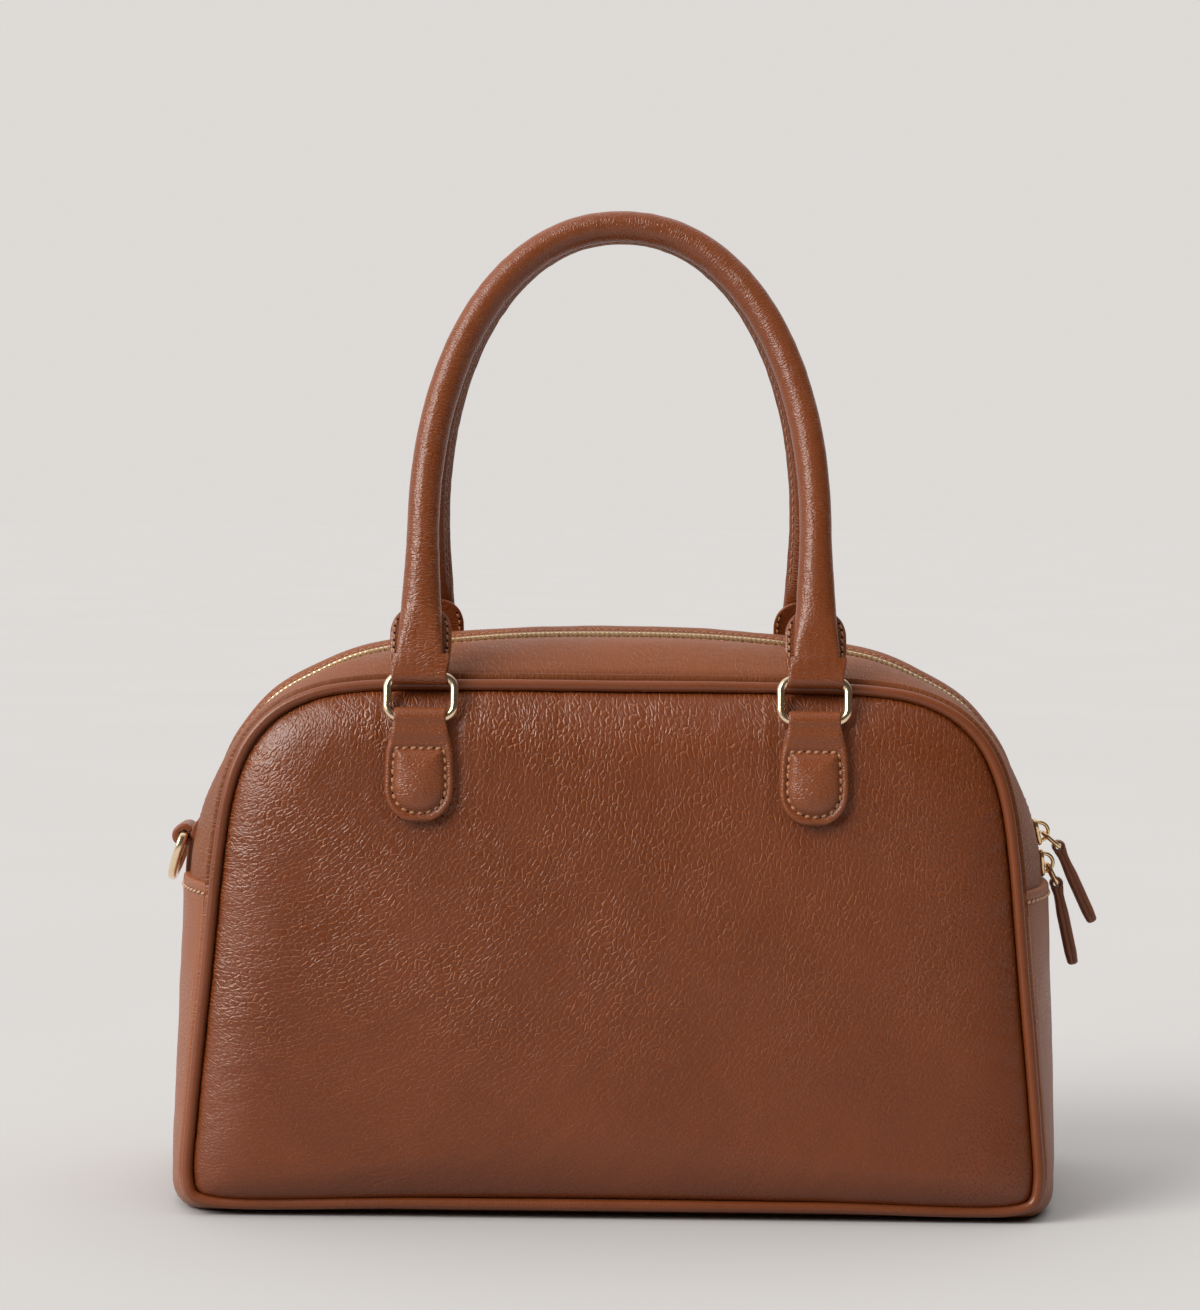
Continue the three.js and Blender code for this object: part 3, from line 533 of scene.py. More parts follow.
    # painted shade along the line pressed in beside the rolled edge
    if pressed:
        off_line = math_("ABSOLUTE", node("Attribute", attribute_name="press").outputs["Fac"])
        col = mix(ramp(off_line, 0.10, 1.0, 0.70, 0.0), col, deep)
    to("Base Color", col)
    shine = math_("ADD", ramp(height, 0.15, 0.85, rough[1], rough[0]), ramp(tone, 0.3, 0.7, -gloss_patch / 2, gloss_patch / 2))
    to("Roughness", shine)
    bsdf.inputs["Specular IOR Level"].default_value = specular
    bump = node("Bump", {"Height": height, "Strength": 1.0, "Distance": depth * MM})
    to("Normal", bump.outputs["Normal"])
    return m


def metal(name, colour, rough=0.17, wear=0.06):
    """Polished plate with faint handling marks."""
    m, bsdf, node, math_, ramp, mix, to = shader(name)
    place = node("TexCoord").outputs["Object"]
    rub = node("TexNoise", {"Vector": place, "Scale": 420.0, "Detail": 3.0, "Roughness": 0.6}).outputs["Fac"]
    scratch = node("TexNoise", {"Vector": place, "Scale": 2600.0, "Detail": 2.0}).outputs["Fac"]
    to("Base Color", mix(ramp(rub, 0.4, 0.75, 0.0, 0.5), colour, tuple(c * 0.86 for c in colour)))
    to("Roughness", math_("ADD", ramp(rub, 0.35, 0.7, rough, rough + wear), ramp(scratch, 0.5, 0.8, 0.0, 0.05)))
    bsdf.inputs["Metallic"].default_value = 1.0
    bump = node("Bump", {"Height": rub, "Strength": 0.25, "Distance": 0.00004})
    to("Normal", bump.outputs["Normal"])
    return m


def thread_finish(name, colour):
    """Twisted sewing thread."""
    m, bsdf, node, math_, ramp, mix, to = shader(name)
    flow = node("UVMap", uv_map="flow").outputs["UV"]
    v = node("VectorMath", {0: flow, 1: (1.0, 1.0, 0.0)}, operation="MULTIPLY").outputs[0]
    v = node("VectorRotate", {"Vector": v, "Angle": 0.9}, rotation_type="Z_AXIS").outputs[0]
    ply = node("TexWave", {"Vector": v, "Scale": 0.62, "Distortion": 0.6, "Detail": 1.0}, wave_type="BANDS").outputs["Fac"]
    to("Base Color", mix(ply, tuple(c * 0.72 for c in colour), colour))
    bsdf.inputs["Roughness"].default_value = 0.62
    bump = node("Bump", {"Height": ply, "Strength": 0.8, "Distance": 0.00008})
    to("Normal", bump.outputs["Normal"])
    return m


# near-black discs of painted shade where the stitch holes are
def hole_finish(name, colour):
    m, bsdf, node, math_, ramp, mix, to = shader(name)
    flow = node("UVMap", uv_map="flow").outputs["UV"]
    n = node("TexNoise", {"Vector": flow, "Scale": 2.0, "Detail": 2.0}).outputs["Fac"]
    to("Base Color", mix(n, tuple(c * 0.5 for c in colour), colour))
    bsdf.inputs["Roughness"].default_value = 0.85
    bsdf.inputs["Specular IOR Level"].default_value = 0.15
    return m


def cloth_finish(name, colour):
    """Woven tape with ribs along its length."""
    m, bsdf, node, math_, ramp, mix, to = shader(name)
    flow = node("UVMap", uv_map="flow").outputs["UV"]
    along = node("TexWave", {"Vector": flow, "Scale": 0.55, "Distortion": 0.4}, wave_type="BANDS", bands_direction="X").outputs["Fac"]
    over = node("TexWave", {"Vector": flow, "Scale": 0.8, "Distortion": 0.3}, wave_type="BANDS", bands_direction="Y").outputs["Fac"]
    weave = math_("MULTIPLY", along, math_("ADD", math_("MULTIPLY", over, 0.6), 0.4))
    to("Base Color", mix(weave, tuple(c * 0.55 for c in colour), colour))
    bsdf.inputs["Roughness"].default_value = 0.85
    bump = node("Bump", {"Height": weave, "Strength": 0.8, "Distance": 0.0002})
    to("Normal", bump.outputs["Normal"])
    return m


def floor_finish(name, colour):
    m, bsdf, node, math_, ramp, mix, to = shader(name)
    place = node("TexCoord").outputs["Object"]
    n = node("TexNoise", {"Vector": place, "Scale": 3.0, "Detail": 3.0}).outputs["Fac"]
    to("Base Color", mix(ramp(n, 0.3, 0.7), tuple(c * 0.985 for c in colour), colour))
    bsdf.inputs["Roughness"].default_value = 0.95
    bsdf.inputs["Specular IOR Level"].default_value = 0.0
    return m


BROWN, BROWN_DEEP, BROWN_PALE = (0.148, 0.0325, 0.0062), (0.056, 0.011, 0.003), (0.205, 0.056, 0.015)
body_leather = leather("body_leather", BROWN, BROWN_DEEP, BROWN_PALE, cell=(3.2, 1.85), pores=0.55, folds=0.20, depth=0.18, lines=0.78, rough=(0.27, 0.39),
                       patch=(0.50, 1.0), fade=(150, 290), low=(30, 88))
# gusset sides: a lighter copy of the panels' leather, its extra lightness painted light and painted sheen
side_leather = leather("side_leather", (0.232, 0.064, 0.0175), BROWN_DEEP, (0.28, 0.086, 0.027), cell=(4.2, 1.8), small=(1.4, 1.0), depth=0.18, crease=0.5,
                       lines=0.45, rough=(0.34, 0.46), specular=0.42)
# zip strips on top: a darker copy of the gusset leather, painted shade on the top; it also paints shade along the
# pressed line
strip_leather = leather("strip_leather", (0.174, 0.0475, 0.0126), BROWN_DEEP, (0.225, 0.068, 0.020), cell=(4.2, 1.8), small=(1.3, 0.9), depth=0.20, crease=0.55,
                        lines=0.55, patch=(0.4, 1.0), rough=(0.38, 0.50), specular=0.25, pressed=True)
trim_leather = leather("trim_leather", (0.185, 0.044, 0.0100), BROWN_DEEP, BROWN_PALE, cell=(2.6, 1.3), small=(1.4, 0.9),
                       depth=0.09, crease=0.45, rough=(0.30, 0.40), patch=(0.3, 1.0), lines=0.25)
tab_leather = leather("tab_leather", (0.192, 0.047, 0.0112), BROWN_DEEP, BROWN_PALE, cell=(2.5, 1.3), small=(1.3, 0.85),
                      depth=0.20, crease=0.55, rough=(0.25, 0.35), patch=(0.45, 1.0), lines=0.60)
roll_leather = leather("roll_leather", (0.176, 0.042, 0.0096), BROWN_DEEP, BROWN_PALE, cell=(3.4, 1.15), small=(1.5, 0.85),
                       depth=0.20, crease=0.52, rough=(0.23, 0.33), patch=(0.45, 1.0), lines=0.78)
cord_leather = leather("cord_leather", (0.165, 0.039, 0.0090), BROWN_DEEP, BROWN_PALE, cell=(2.4, 1.5), small=(1.2, 0.85),
                       depth=0.07, crease=0.40, rough=(0.27, 0.36), lines=0.15)
pull_leather = leather("pull_leather", (0.185, 0.058, 0.026), (0.060, 0.018, 0.007), (0.24, 0.085, 0.040), cell=(2.6, 1.5),
                       small=(1.2, 0.8), depth=0.07, crease=0.4, rough=(0.32, 0.46), lines=0.2)
gold = metal("gold_metal", (0.95, 0.750, 0.515), rough=0.20)
brass = metal("brass_teeth", (0.96, 0.78, 0.51), rough=0.32)
warm_gold = metal("slider_metal", (0.94, 0.67, 0.36), rough=0.20)
thread = thread_finish("thread", (0.42, 0.190, 0.092))
pale_thread = thread_finish("pale_thread", (0.56, 0.33, 0.21))
# painted shade of the stitch holes
painted_hole_shade = hole_finish("stitch_hole", (0.022, 0.008, 0.005))
tape_cloth = cloth_finish("zip_cloth", (0.13, 0.050, 0.026))


# ---------------------------------------------------------------- panels
def panel_relief(x, z, s, inset, u, v, seed):
    """Fine unevenness of a panel: puckers along the seam, soft dents and long shallow folds."""
    edge = np.exp(-np.maximum(inset - 1.5, 0) / 8.0)
    steep = smooth(z, 10, 45) * 0.75 + 0.25
    pucker = 0.22 * lattice_noise(s / 2.9, inset / 22, seed) + 0.26 * lattice_noise(s / 6.1, inset / 40, seed + 1)
    soft = 0.34 * lattice_noise(x / 64 + 9.3, z / 52, seed + 2) + 0.12 * lattice_noise(x / 27, z / 24 + 4.1, seed + 3)
    fold = 0.09 * lattice_noise(u / 20, v / 5.0, seed + 4) + 0.05 * lattice_noise(u / 11, v / 3.2, seed + 5)
    inside = smooth(inset, 2, 22)
    press = 0
    for tab in (RING_X, -RING_X):
        d = np.hypot(np.maximum(np.abs(x - tab) - 9.5, 0), np.maximum(140 - z, 0))
        near = smooth(z, 126, 136)
        press = press - 0.30 * bell(d - 3.2, 1.6) * near + 0.16 * bell(d - 6.2, 1.7) * near - 0.10 * bell(d - 9.0, 1.5) * near
    return pucker * edge * steep + (soft * inside) + fold * smooth(inset, 3, 14) + press


def panel_face(x, z, inset):
    """Outer face of a panel, as a distance from mid depth: a deep lip at the seam that rolls out to a full front."""
    d = np.maximum(inset - 1.35, 0)
    dome = (1 - (x / 152.0) ** 2) * (1 - ((z - PANEL_MID_Z) / 104.0) ** 2)
    roll = 1 - (1 - np.clip(d / 25.0, 0, 1)) ** 2.0
    return half_depth(z) - 3.4 + 3.0 * (1 - np.exp(-d / 0.7)) + 2.4 * (1 - np.exp(-d / 4.5)) + roll * (4.7 + 1.6 * dome)


def ray_inset(x, z):
    """How far inside the piping a point lies, along the ray from the panel's middle."""
    rows = np.linspace(0, ROWS, 2881)
    p = curve_at(PIPE, rows)
    q = np.unwrap(np.arctan2(p[:, 1] - PANEL_MID_Z, p[:, 0]))
    r = np.hypot(p[:, 0], p[:, 1] - PANEL_MID_Z)
    a = np.arctan2(z - PANEL_MID_Z, x)
    a = q[0] + (a - q[0]) % (2 * np.pi)
    return np.interp(a, q, r) - np.hypot(x, z - PANEL_MID_Z)


def panel(side, seed):
    rows = even_rows(0, ROWS, 1.05)[:-1]
    edge = curve_at(PIPE, rows)
    way = np.array([0, PANEL_MID_Z]) - edge
    reach = np.linalg.norm(way, axis=1)
    way = way / reach[:, None]
    insets = np.array([1.35, 1.5, 1.7, 1.95, 2.25, 2.6, 3.0, 3.5, 4.1, 4.8, 5.6, 6.5, 7.5, 8.6, 9.8, 11.1, 12.5, 14, 15.6, 17.3, 19.1, 21, 23, 25])
    shares = np.linspace(0, 1, 47)[1:-1] ** 0.93
    depth = np.concatenate([np.repeat(insets[:, None], len(rows), 1), 25 + shares[:, None] * (reach[None] - 25)], 0)
    xz = edge[None] + way[None] * depth[..., None]
    x, z = xz[..., 0], xz[..., 1]
    s = np.broadcast_to(length_at(rows)[None], x.shape)
    sx = x * -side                                  # seen from outside, left stays left
    corner_x, corner_z = -138.0, 176.0              # wrinkles run round the upper left corner
    r = np.hypot(sx - corner_x, z - corner_z)
    q = np.arctan2(z - corner_z, sx - corner_x) + math.pi / 4
    q = np.where(q > math.pi, q - 2 * math.pi, q)
    far = np.linspace(0, 480, 481)                  # grain is finer near that corner
    fine = 1 + 0.16 * (1 - smooth(far, 40, 170))
    u, v = q * r * np.interp(r, far, fine), np.interp(r, far, np.cumsum(fine) - 1)
    face = panel_face(x, z, depth) + panel_relief(sx, z, s, depth, u, v, seed)
    outer = np.stack([x, side * face, z], -1)
    # inner face follows the outer one at the wall's thickness
    pick = [0, 5, 10, 16, 23, 35, 50, len(depth) - 1]
    inner = np.stack([x[pick], side * (panel_face(x, z, depth)[pick] - WALL - np.where(depth[pick] < 2, -1.0, 0)), z[pick]], -1)
    flow_o, flow_i = np.stack([u, v], -1), np.stack([u[pick], v[pick]], -1)
    sections = np.concatenate([inner[::-1], outer], 0)
    flow = np.concatenate([flow_i[::-1], flow_o], 0)
    flow = np.concatenate([flow, flow[:, :1]], 1)
    return Form().loft(sections, flow)


piece("front_panel_skin", panel(-1, 21), body_leather, "bag", "front_panel")
piece("back_panel_skin", panel(1, 57), body_leather, "bag", "back_panel")


# ---------------------------------------------------------------- piping
def piping(side, seed):
    rows = even_rows(0, ROWS, 1.15)[:-1]
    at = lambda r: (lambda p: np.stack([p[:, 0], side * half_depth(p[:, 1]), p[:, 1]], 1))(curve_at(PIPE, r))
    run = unit(at(rows + 0.02) - at(rows - 0.02))
    deep = np.array([0.0, 1, 0]) - run * run[:, 1:2]
    deep = unit(deep)
    out = np.cross(deep, run)
    q = np.arange(20) * 2 * np.pi / 20
    s = length_at(rows)
    r = PIPING_R * (1 + 0.018 * lattice_noise(s / 7.0, 0.3, seed) + 0.012 * lattice_noise(s / 2.2, 0.7, seed + 1))[:, None, None]
    ring = at(rows)[:, None] + r * (out[:, None] * np.cos(q)[None, :, None] + deep[:, None] * np.sin(q)[None, :, None])
    return Form().loft(ring, closed=True)


piece("piping_front_cover", piping(-1, 5), cord_leather, "bag", "piping_front")
piece("piping_back_cover", piping(1, 8), cord_leather, "bag", "piping_back")


# ---------------------------------------------------------------- gusset
SEAM_STEPS = np.array([0, 0.8, 1.5, 2.2, 2.8, 3.3, 3.8, 4.3, 4.8, 5.3, 5.8, 6.3, 6.8, 7.4, 8.1, 9, 10])


RIDGE = 2.9


def seam_ridge(d):
    """Rolled edge of the gusset beside the piping and the pressed line behind it, by distance from the seam."""
    return RIDGE * bell(d - 3.3, 1.3) - 0.8 * bell(d - 6.1, 0.9)


def lower_gusset():
    first, last = mirror_row(FLAP_ROW), ROWS + FLAP_ROW
    rows = even_rows(first, last, 1.7, EDGE_STEPS)
    rows = np.sort(np.unique(np.concatenate([rows, row_at(length_at(first) + np.arange(2, 6, 0.4)), row_at(length_at(last) - np.arange(2, 6, 0.4))])))
    near = np.concatenate([1.03 - SEAM_STEPS / 58.0, [0.80, 0.74, 0.66, 0.56, 0.45, 0.34, 0.23, 0.115]])
    across = np.concatenate([-near, [0], near[::-1]])
    low = across[::3][::-1]
    s = length_at(rows)
    end = np.minimum(s - s[0], s[-1] - s)
    h = round_edge(end, 0.9)
    R, A = np.meshgrid(rows, across, indexing="ij")
    base, up = gusset_frame(R, A)
    deep = half_depth(curve_at(PIPE, rows)[:, 1])[:, None] - ZIP_EDGE
    from_edge = (1.03 - np.abs(A)) * deep
    wave = 0.20 * lattice_noise(s[:, None] / 19, A * 3.1, 31) + 0.10 * lattice_noise(s[:, None] / 7, A * 7.0, 32)
    resting = smooth(base[..., 2], 4, 16)
    off = LAP - 0.9 + h[:, None] - 2.9 * bell(from_edge, 1.6) + wave * resting * smooth(from_edge, 1, 8)
    off = off + 0.22 * seam_ridge(from_edge) * resting
    off = off - 0.26 * bell(end[:, None] - 3.5, 0.75) + 0.10 * bell(end[:, None] - 1.7, 1.0)
    outer = base + up * off[..., None]
    R2, A2 = np.meshgrid(rows, low, indexing="ij")
    base2, up2 = gusset_frame(R2, A2)
    from_edge2 = (1.03 - np.abs(A2)) * deep
    inner = base2 + up2 * (LAP - 0.9 - h[:, None] - 1.5 * bell(from_edge2, 1.6))[..., None]
    sections = np.concatenate([outer, inner], 1)
    flow = np.stack([np.concatenate([A * deep, A2 * deep, A[:, :1] * deep], 1), np.broadcast_to(s[:, None], (len(rows), len(across) + len(low) + 1))], -1)
    return Form().loft(sections, flow)


piece("gusset_lower_skin", lower_gusset(), side_leather, "bag", "gusset_lower")


def flap_stitches():
    f = Form()
    for first, way in ((mirror_row(FLAP_ROW), 1), (ROWS + FLAP_ROW, -1)):
        row = row_at(length_at(first) + way * 3.5)
        across = np.linspace(-0.955, 0.955, 160)
        p, n = gusset_frame(np.full(160, row), across)
        sew(f, p + n * (LAP - 0.02), n, pitch=4.3, thread=0.42, rise=0.26, fill=0.56)
    return f


piece("flap_stitching", flap_stitches(), [pale_thread, painted_hole_shade], "bag", ())


# ---------------------------------------------------------------- zip strips, tape and teeth
VALLEY = 2.2


def zip_dip(row, y):
    """Upper gusset off its even crown: the zip lies low, the rear strip stands full behind it."""
    row, y = np.broadcast_arrays(np.asarray(row, float), np.asarray(y, float))
    run = smooth(row, 10.7, 12.6) * (1 - smooth(row, mirror_row(12.6), mirror_row(10.7)))
    front = np.where(y < -2, 1.25 * bell(y + 4, 14.0), np.where(y < 2.5, 0.66, 0.66 * bell(y - 2.5, 5.0)))
    return run * (-VALLEY * front + 1.45 * bell(y - 14.0, 10.0) * smooth(y, 2, 12))


def zip_strip(side):
    rows = even_rows(UNDER_ROW + 0.05, mirror_row(UNDER_ROW + 0.05), 1.7)
    slot = across_of(rows, ZIP_SLOT)
    deep = (half_depth(curve_at(PIPE, rows)[:, 1]) - ZIP_EDGE)[:, None]
    edge_mm = np.concatenate([EDGE_STEPS, [1.9, 2.2, 2.5, 2.8, 3.2, 3.8, 4.6]])
    reach = (1.03 - slot[:, None]) * deep
    share = np.linspace(0, 1, 11)[1:-1]
    dist = np.concatenate([np.repeat(edge_mm[None], len(rows), 0), 4.6 + share[None] * (reach - 14.6), reach - SEAM_STEPS[None, ::-1]], 1)
    A = side * (slot[:, None] + dist / deep)
    R = np.broadcast_to(rows[:, None], A.shape)
    base, up = gusset_frame(R, A)
    s = length_at(rows)[:, None]
    from_edge = (1.03 - np.abs(A)) * deep
    h = round_edge(dist, 0.9)
    wave = 0.16 * lattice_noise(s / 17, dist / 9, 41 + side) + 0.08 * lattice_noise(s / 6, dist / 5, 43 + side)
    off = -0.9 + h - 1.7 * bell(from_edge, 1.5) - 0.22 * bell(dist - 2.5, 0.6) + 0.10 * bell(dist - 1.1, 0.8) + wave * smooth(dist, 3, 9) * smooth(from_edge, 1, 6)
    dip = zip_dip(R, base[..., 1])
    off = off + dip + seam_ridge(from_edge) * smooth(dist, 4, 9)
    outer = base + up * off[..., None]
    pick = [0, 4, 8, 15, 19, 24, 30, 36, dist.shape[1] - 1][::-1]
    inner = base[:, pick] + up[:, pick] * (-0.9 - h[:, pick] - 0.9 * bell(from_edge[:, pick], 1.5) + dip[:, pick])[..., None]
    sections = np.concatenate([outer, inner], 1)
    u = np.concatenate([dist, dist[:, pick], dist[:, :1]], 1)
    flow = np.stack([u, np.broadcast_to(s, u.shape)], -1)
    f = Form().loft(sections, flow)
    # distance from the line pressed in behind the rolled edge, where the finish paints shade
    press = np.concatenate([np.concatenate([from_edge - 6.1, np.full(inner.shape[:2], -9.0)], 1).ravel(), [-9.0, -9.0]])
    return f, press


for side, face in ((-1, "front"), (1, "back")):
    strip, line = zip_strip(side)
    piece(f"zip_strip_{face}_skin", strip, strip_leather, "bag", f"zip_strip_{face}", press=line)


def zip_stitches():
    f = Form()
    rows = even_rows(FLAP_ROW + 0.12, mirror_row(FLAP_ROW + 0.12), 1.5)
    for side in (-1, 1):
        a = side * across_of(rows, ZIP_SLOT + 2.5)
        p, n = gusset_frame(rows, a)
        sew(f, p + n * (-0.2 + zip_dip(rows, p[:, 1]))[:, None], n, pitch=2.9, thread=0.30)
    return f


piece("zip_strip_stitching", zip_stitches(), [thread, painted_hole_shade], "bag", ())


def zip_tape():
    rows = even_rows(UNDER_ROW + 0.05, mirror_row(UNDER_ROW + 0.05), 2.0)
    y = np.linspace(-TAPE_HALF, TAPE_HALF, 17)
    A = across_of(rows, 1.0)[:, None] * y[None]
    base, up = gusset_frame(np.broadcast_to(rows[:, None], A.shape), A)
    cord = 0.55 * bell(np.abs(y) - 2.5, 0.5)[None, :, None]
    base = base + up * zip_dip(rows[:, None], np.zeros_like(A))[..., None]
    outer, inner = base + up * (-1.9 + cord), (base - up * 2.7)[:, ::-1]
    s = length_at(rows)[:, None]
    yy = np.broadcast_to(np.concatenate([y, y[::-1], y[:1]])[None], (len(rows), 35))
    return Form().loft(np.concatenate([outer, inner], 1), np.stack([yy, np.broadcast_to(s, yy.shape)], -1))


piece("zip_tape_weave", zip_tape(), tape_cloth, "bag", "zip_tape")


def zip_teeth():
    f = Form()
    pitch = 1.62
    first, last = length_at(FLAP_ROW) + 1.0, length_at(mirror_row(FLAP_ROW)) - 1.0
    for side, start in ((-1, 0.0), (1, pitch / 2)):
        s = np.arange(first + start, last, pitch)
        rows = row_at(s)
        p, up = gusset_frame(rows, np.zeros_like(rows))
        ahead, _ = gusset_frame(row_at(s + 0.5), np.zeros_like(rows))
        run = unit(ahead - p)
        scale = np.linalg.norm(ahead - p, axis=1) / 0.5
        p = p + up * zip_dip(rows, np.zeros_like(rows))[:, None]
        # octagonal tooth: reach across the zip, half length along it, bottom and top
        shape = [(-0.75, 0.50, -1.35, -0.10), (-0.45, 0.66, -1.60, 0.24), (0.55, 0.62, -1.60, 0.34), (1.55, 0.44, -1.50, 0.22), (2.35, 0.40, -1.40, 0.02)]
        for i in range(len(s)):
            k = scale[i]
            ring = []
            for reach, half, low, high in shape:
                half, mid, tall = half * k, (low + high) / 2, (high - low) / 2
                o = [(half, tall * 0.45), (half * 0.55, tall), (-half * 0.55, tall), (-half, tall * 0.45),
                     (-half, -tall * 0.6), (-half * 0.6, -tall), (half * 0.6, -tall), (half, -tall * 0.6)]
                ring.append([p[i] + np.array([0, side * reach, 0]) + run[i] * a + up[i] * (mid + b) for a, b in o])
            f.loft(np.array(ring))
    return f


piece("zip_teeth_chain", zip_teeth(), brass, "bag", "zip_teeth", sharp=38)


# ---------------------------------------------------------------- handle tabs
def tab_half(z):
    low = 11.7 * np.maximum(1 - np.clip((146 - z) / 12.4, 0, 1) ** 2.3, 0) ** (1 / 2.3)
    high = spline1([146, 152, 158, 162, 165, 168, 173], [11.7, 11.62, 11.15, 10.2, 9.3, 8.85, 8.75], z)
    return np.where(z < 146, low, high)


def tab_lift(z):
    return spline1([130, 150, 157, 162, 166, 170], [0, 0, 0.2, 1.2, 2.7, 3.6], z)


STITCH_TOP = 158.7
TAB_THICK = 3.0


def tab_box(z):
    """Half width of the stitched field at a height."""
    low = 8.9 * np.maximum(1 - np.clip((146 - z) / 9.3, 0, 1) ** 2.3, 0) ** (1 / 2.3)
    high = spline1([146, 152, STITCH_TOP], [8.9, 8.75, 8.15], z)
    return np.where(z < 146, low, high)


def tab_back(x, z):
    return panel_face(x, z, ray_inset(x, z)) + 0.1


def tab_stitch_line():
    q = np.linspace(0, 1, 60)
    z_low = 146 - 9.3 * np.sin(q * np.pi / 2)
    right = np.stack([tab_box(z_low), z_low], 1)
    up = np.linspace(STITCH_TOP - 1.2, 146, 30)[:-1]
    right = np.concatenate([np.stack([tab_box(up), up], 1), right])
    corner = np.array([[tab_box(np.array(STITCH_TOP)) - 0.35, STITCH_TOP - 0.35]])
    right = np.concatenate([corner, right])
    left = right[::-1] * (-1, 1)
    return np.concatenate([right, left[1:]])


def tab_relief(x, z):
    """Front of a tab: sewn groove, filled field inside it, soft rim outside."""
    line = even_path(tab_stitch_line(), 0.5, closed=True)
    d = np.sqrt(((np.stack([x, z], -1)[..., None, :] - line) ** 2).sum(-1)).min(-1)
    inside = (z < STITCH_TOP) & (z > 136.7) & (np.abs(x) < tab_box(z))
    fill = np.where(inside, 0.55 * (1 - np.exp(-d / 1.3)) + 1.7 * (1 - (1 - np.clip(d / 9.0, 0, 1)) ** 2), 0)
    return fill - 0.85 * bell(d, 0.95), d


def handle_tab(seed):
    """Tab about x = 0 on the front: up from its round end, over the ring's lower bar and down behind it."""
    z_low = np.concatenate([133.62 + 12.4 * (1 - np.cos(np.linspace(0.03, 1, 20) * np.pi / 2)) * 1.0, np.linspace(146.4, 165.6, 36)])
    cols = np.linspace(-1, 1, 49)
    cols = np.sign(cols) * (1 - (1 - np.abs(cols)) ** 1.35)
    back_cols = cols[::4][::-1]
    half = tab_half(z_low)
    X, Z = half[:, None] * cols[None], np.broadcast_to(z_low[:, None], (len(z_low), len(cols)))
    end = np.minimum(half[:, None] * (1 - np.abs(cols))[None], np.broadcast_to((z_low - 133.6)[:, None], X.shape))
    rim = np.sqrt(np.maximum(1 - (1 - np.clip(end / 1.5, 0, 1)) ** 2, 0))
    relief, _ = tab_relief(X, Z)
    bar = smooth(z_low, 160.0, 166.5)[:, None]
    thick = TAB_THICK + relief * (1 - bar)
    back = tab_back(X + RING_X, Z)
    dip = -0.55 * bell(Z - 161.0, 1.9) * (np.abs(cols)[None] < 2)
    front = back + tab_lift(Z) + 0.35 + (thick * (0.42 + 0.58 * rim)) + dip
    # upper stretch heads for the front of the ring's bar
    goal = -PIVOT_Y + 3.45
    front = front * (1 - bar) + (goal - 0.25 * (1 - rim)) * bar
    rear = back + 0.2 + tab_lift(Z) * 0.9 + 0.9 * (1 - rim)
    rear = np.minimum(rear * (1 - bar) + (goal - 1.7) * bar, front - 0.25)
    F = np.stack([X, -front, Z], -1)
    B = np.stack([X, -rear, Z], -1)[:, ::4][:, ::-1]
    body = np.concatenate([F, B], 1)
    # fold over the bar
    q = np.linspace(-0.35, 1.25 * np.pi, 26)
    w = 8.75
    xs, xb = w * cols, w * back_cols
    edge = np.sqrt(np.maximum(1 - (1 - np.clip(w * (1 - np.abs(cols)) / 0.8, 0, 1)) ** 2, 0))
    edge_b = edge[::4][::-1]
    fold = []
    for a in q:
        out = np.array([-math.cos(a), math.sin(a)])
        ro, ri = 3.45 - 0.55 * (1 - edge), 1.72 + 0.45 * (1 - edge_b)
        f = np.stack([xs, PIVOT_Y + ro * out[0], PIVOT_Z + ro * out[1]], 1)
        b = np.stack([xb, PIVOT_Y + ri * out[0], PIVOT_Z + ri * out[1]], 1)
        fold.append(np.concatenate([f, b], 0))
    sections = np.concatenate([body, np.array(fold)], 0)
    return Form().loft(sections)


def tab_stitches():
    line = even_path(tab_stitch_line(), 0.4, closed=True)
    relief, _ = tab_relief(line[:, 0], line[:, 1])
    y = -(tab_back(line[:, 0] + RING_X, line[:, 1]) + tab_lift(line[:, 1]) + 0.35 + TAB_THICK + relief)
    p = np.stack([line[:, 0], y, line[:, 1]], 1)
    n = np.broadcast_to(unit(np.array([0.0, -1, 0.09])), p.shape)
    return sew(Form(), p, n, pitch=2.85, thread=0.46, rise=0.30, fill=0.72, closed=True)


TAB, TAB_SEAM = handle_tab(3), tab_stitches()
for face in ("front", "back"):
    for x in (RING_X, -RING_X):
        side = "right" if (x > 0) == (face == "front") else "left"
        put = (lambda p, x=x: p + (x, 0, 0)) if face == "front" else (lambda p, x=x: half_turn(p + (x, 0, 0)))
        node = f"handle_tab_{face}_{side}"
        piece(node + "_leather", TAB.moved(put), tab_leather, "bag", node)
        piece(node + "_stitching", TAB_SEAM.moved(put), [thread, painted_hole_shade], "bag", ())


# ---------------------------------------------------------------- rings
def rounded_loop(width, height, radius, steps=10):
    """Rounded rectangle in the x-z plane, lower bar on z = 0."""
    h, out = width / 2, []
    for cx, cz, a in ((h - radius, radius, -90), (h - radius, height - radius, 0), (-h + radius, height - radius, 90), (-h + radius, radius, 180)):
        q = np.radians(np.linspace(a, a + 90, steps))
        out.append(np.stack([cx + radius * np.cos(q), cz + radius * np.sin(q)], 1))
    p = np.concatenate(out)
    return np.stack([p[:, 0], np.zeros(len(p)), p[:, 1]], 1)


def wire_ring():
    path = even_path(rounded_loop(RING_W - 2 * RING_WIRE_R, RING_BAR, 4.3, 24), 0.45, closed=True)
    return tube(Form(), path, (0, 1, 0), 1.48, sides=24, closed=True)


def lean_front(p):
    return turn_x(p, -LEAN) + (0, PIVOT_Y, PIVOT_Z)


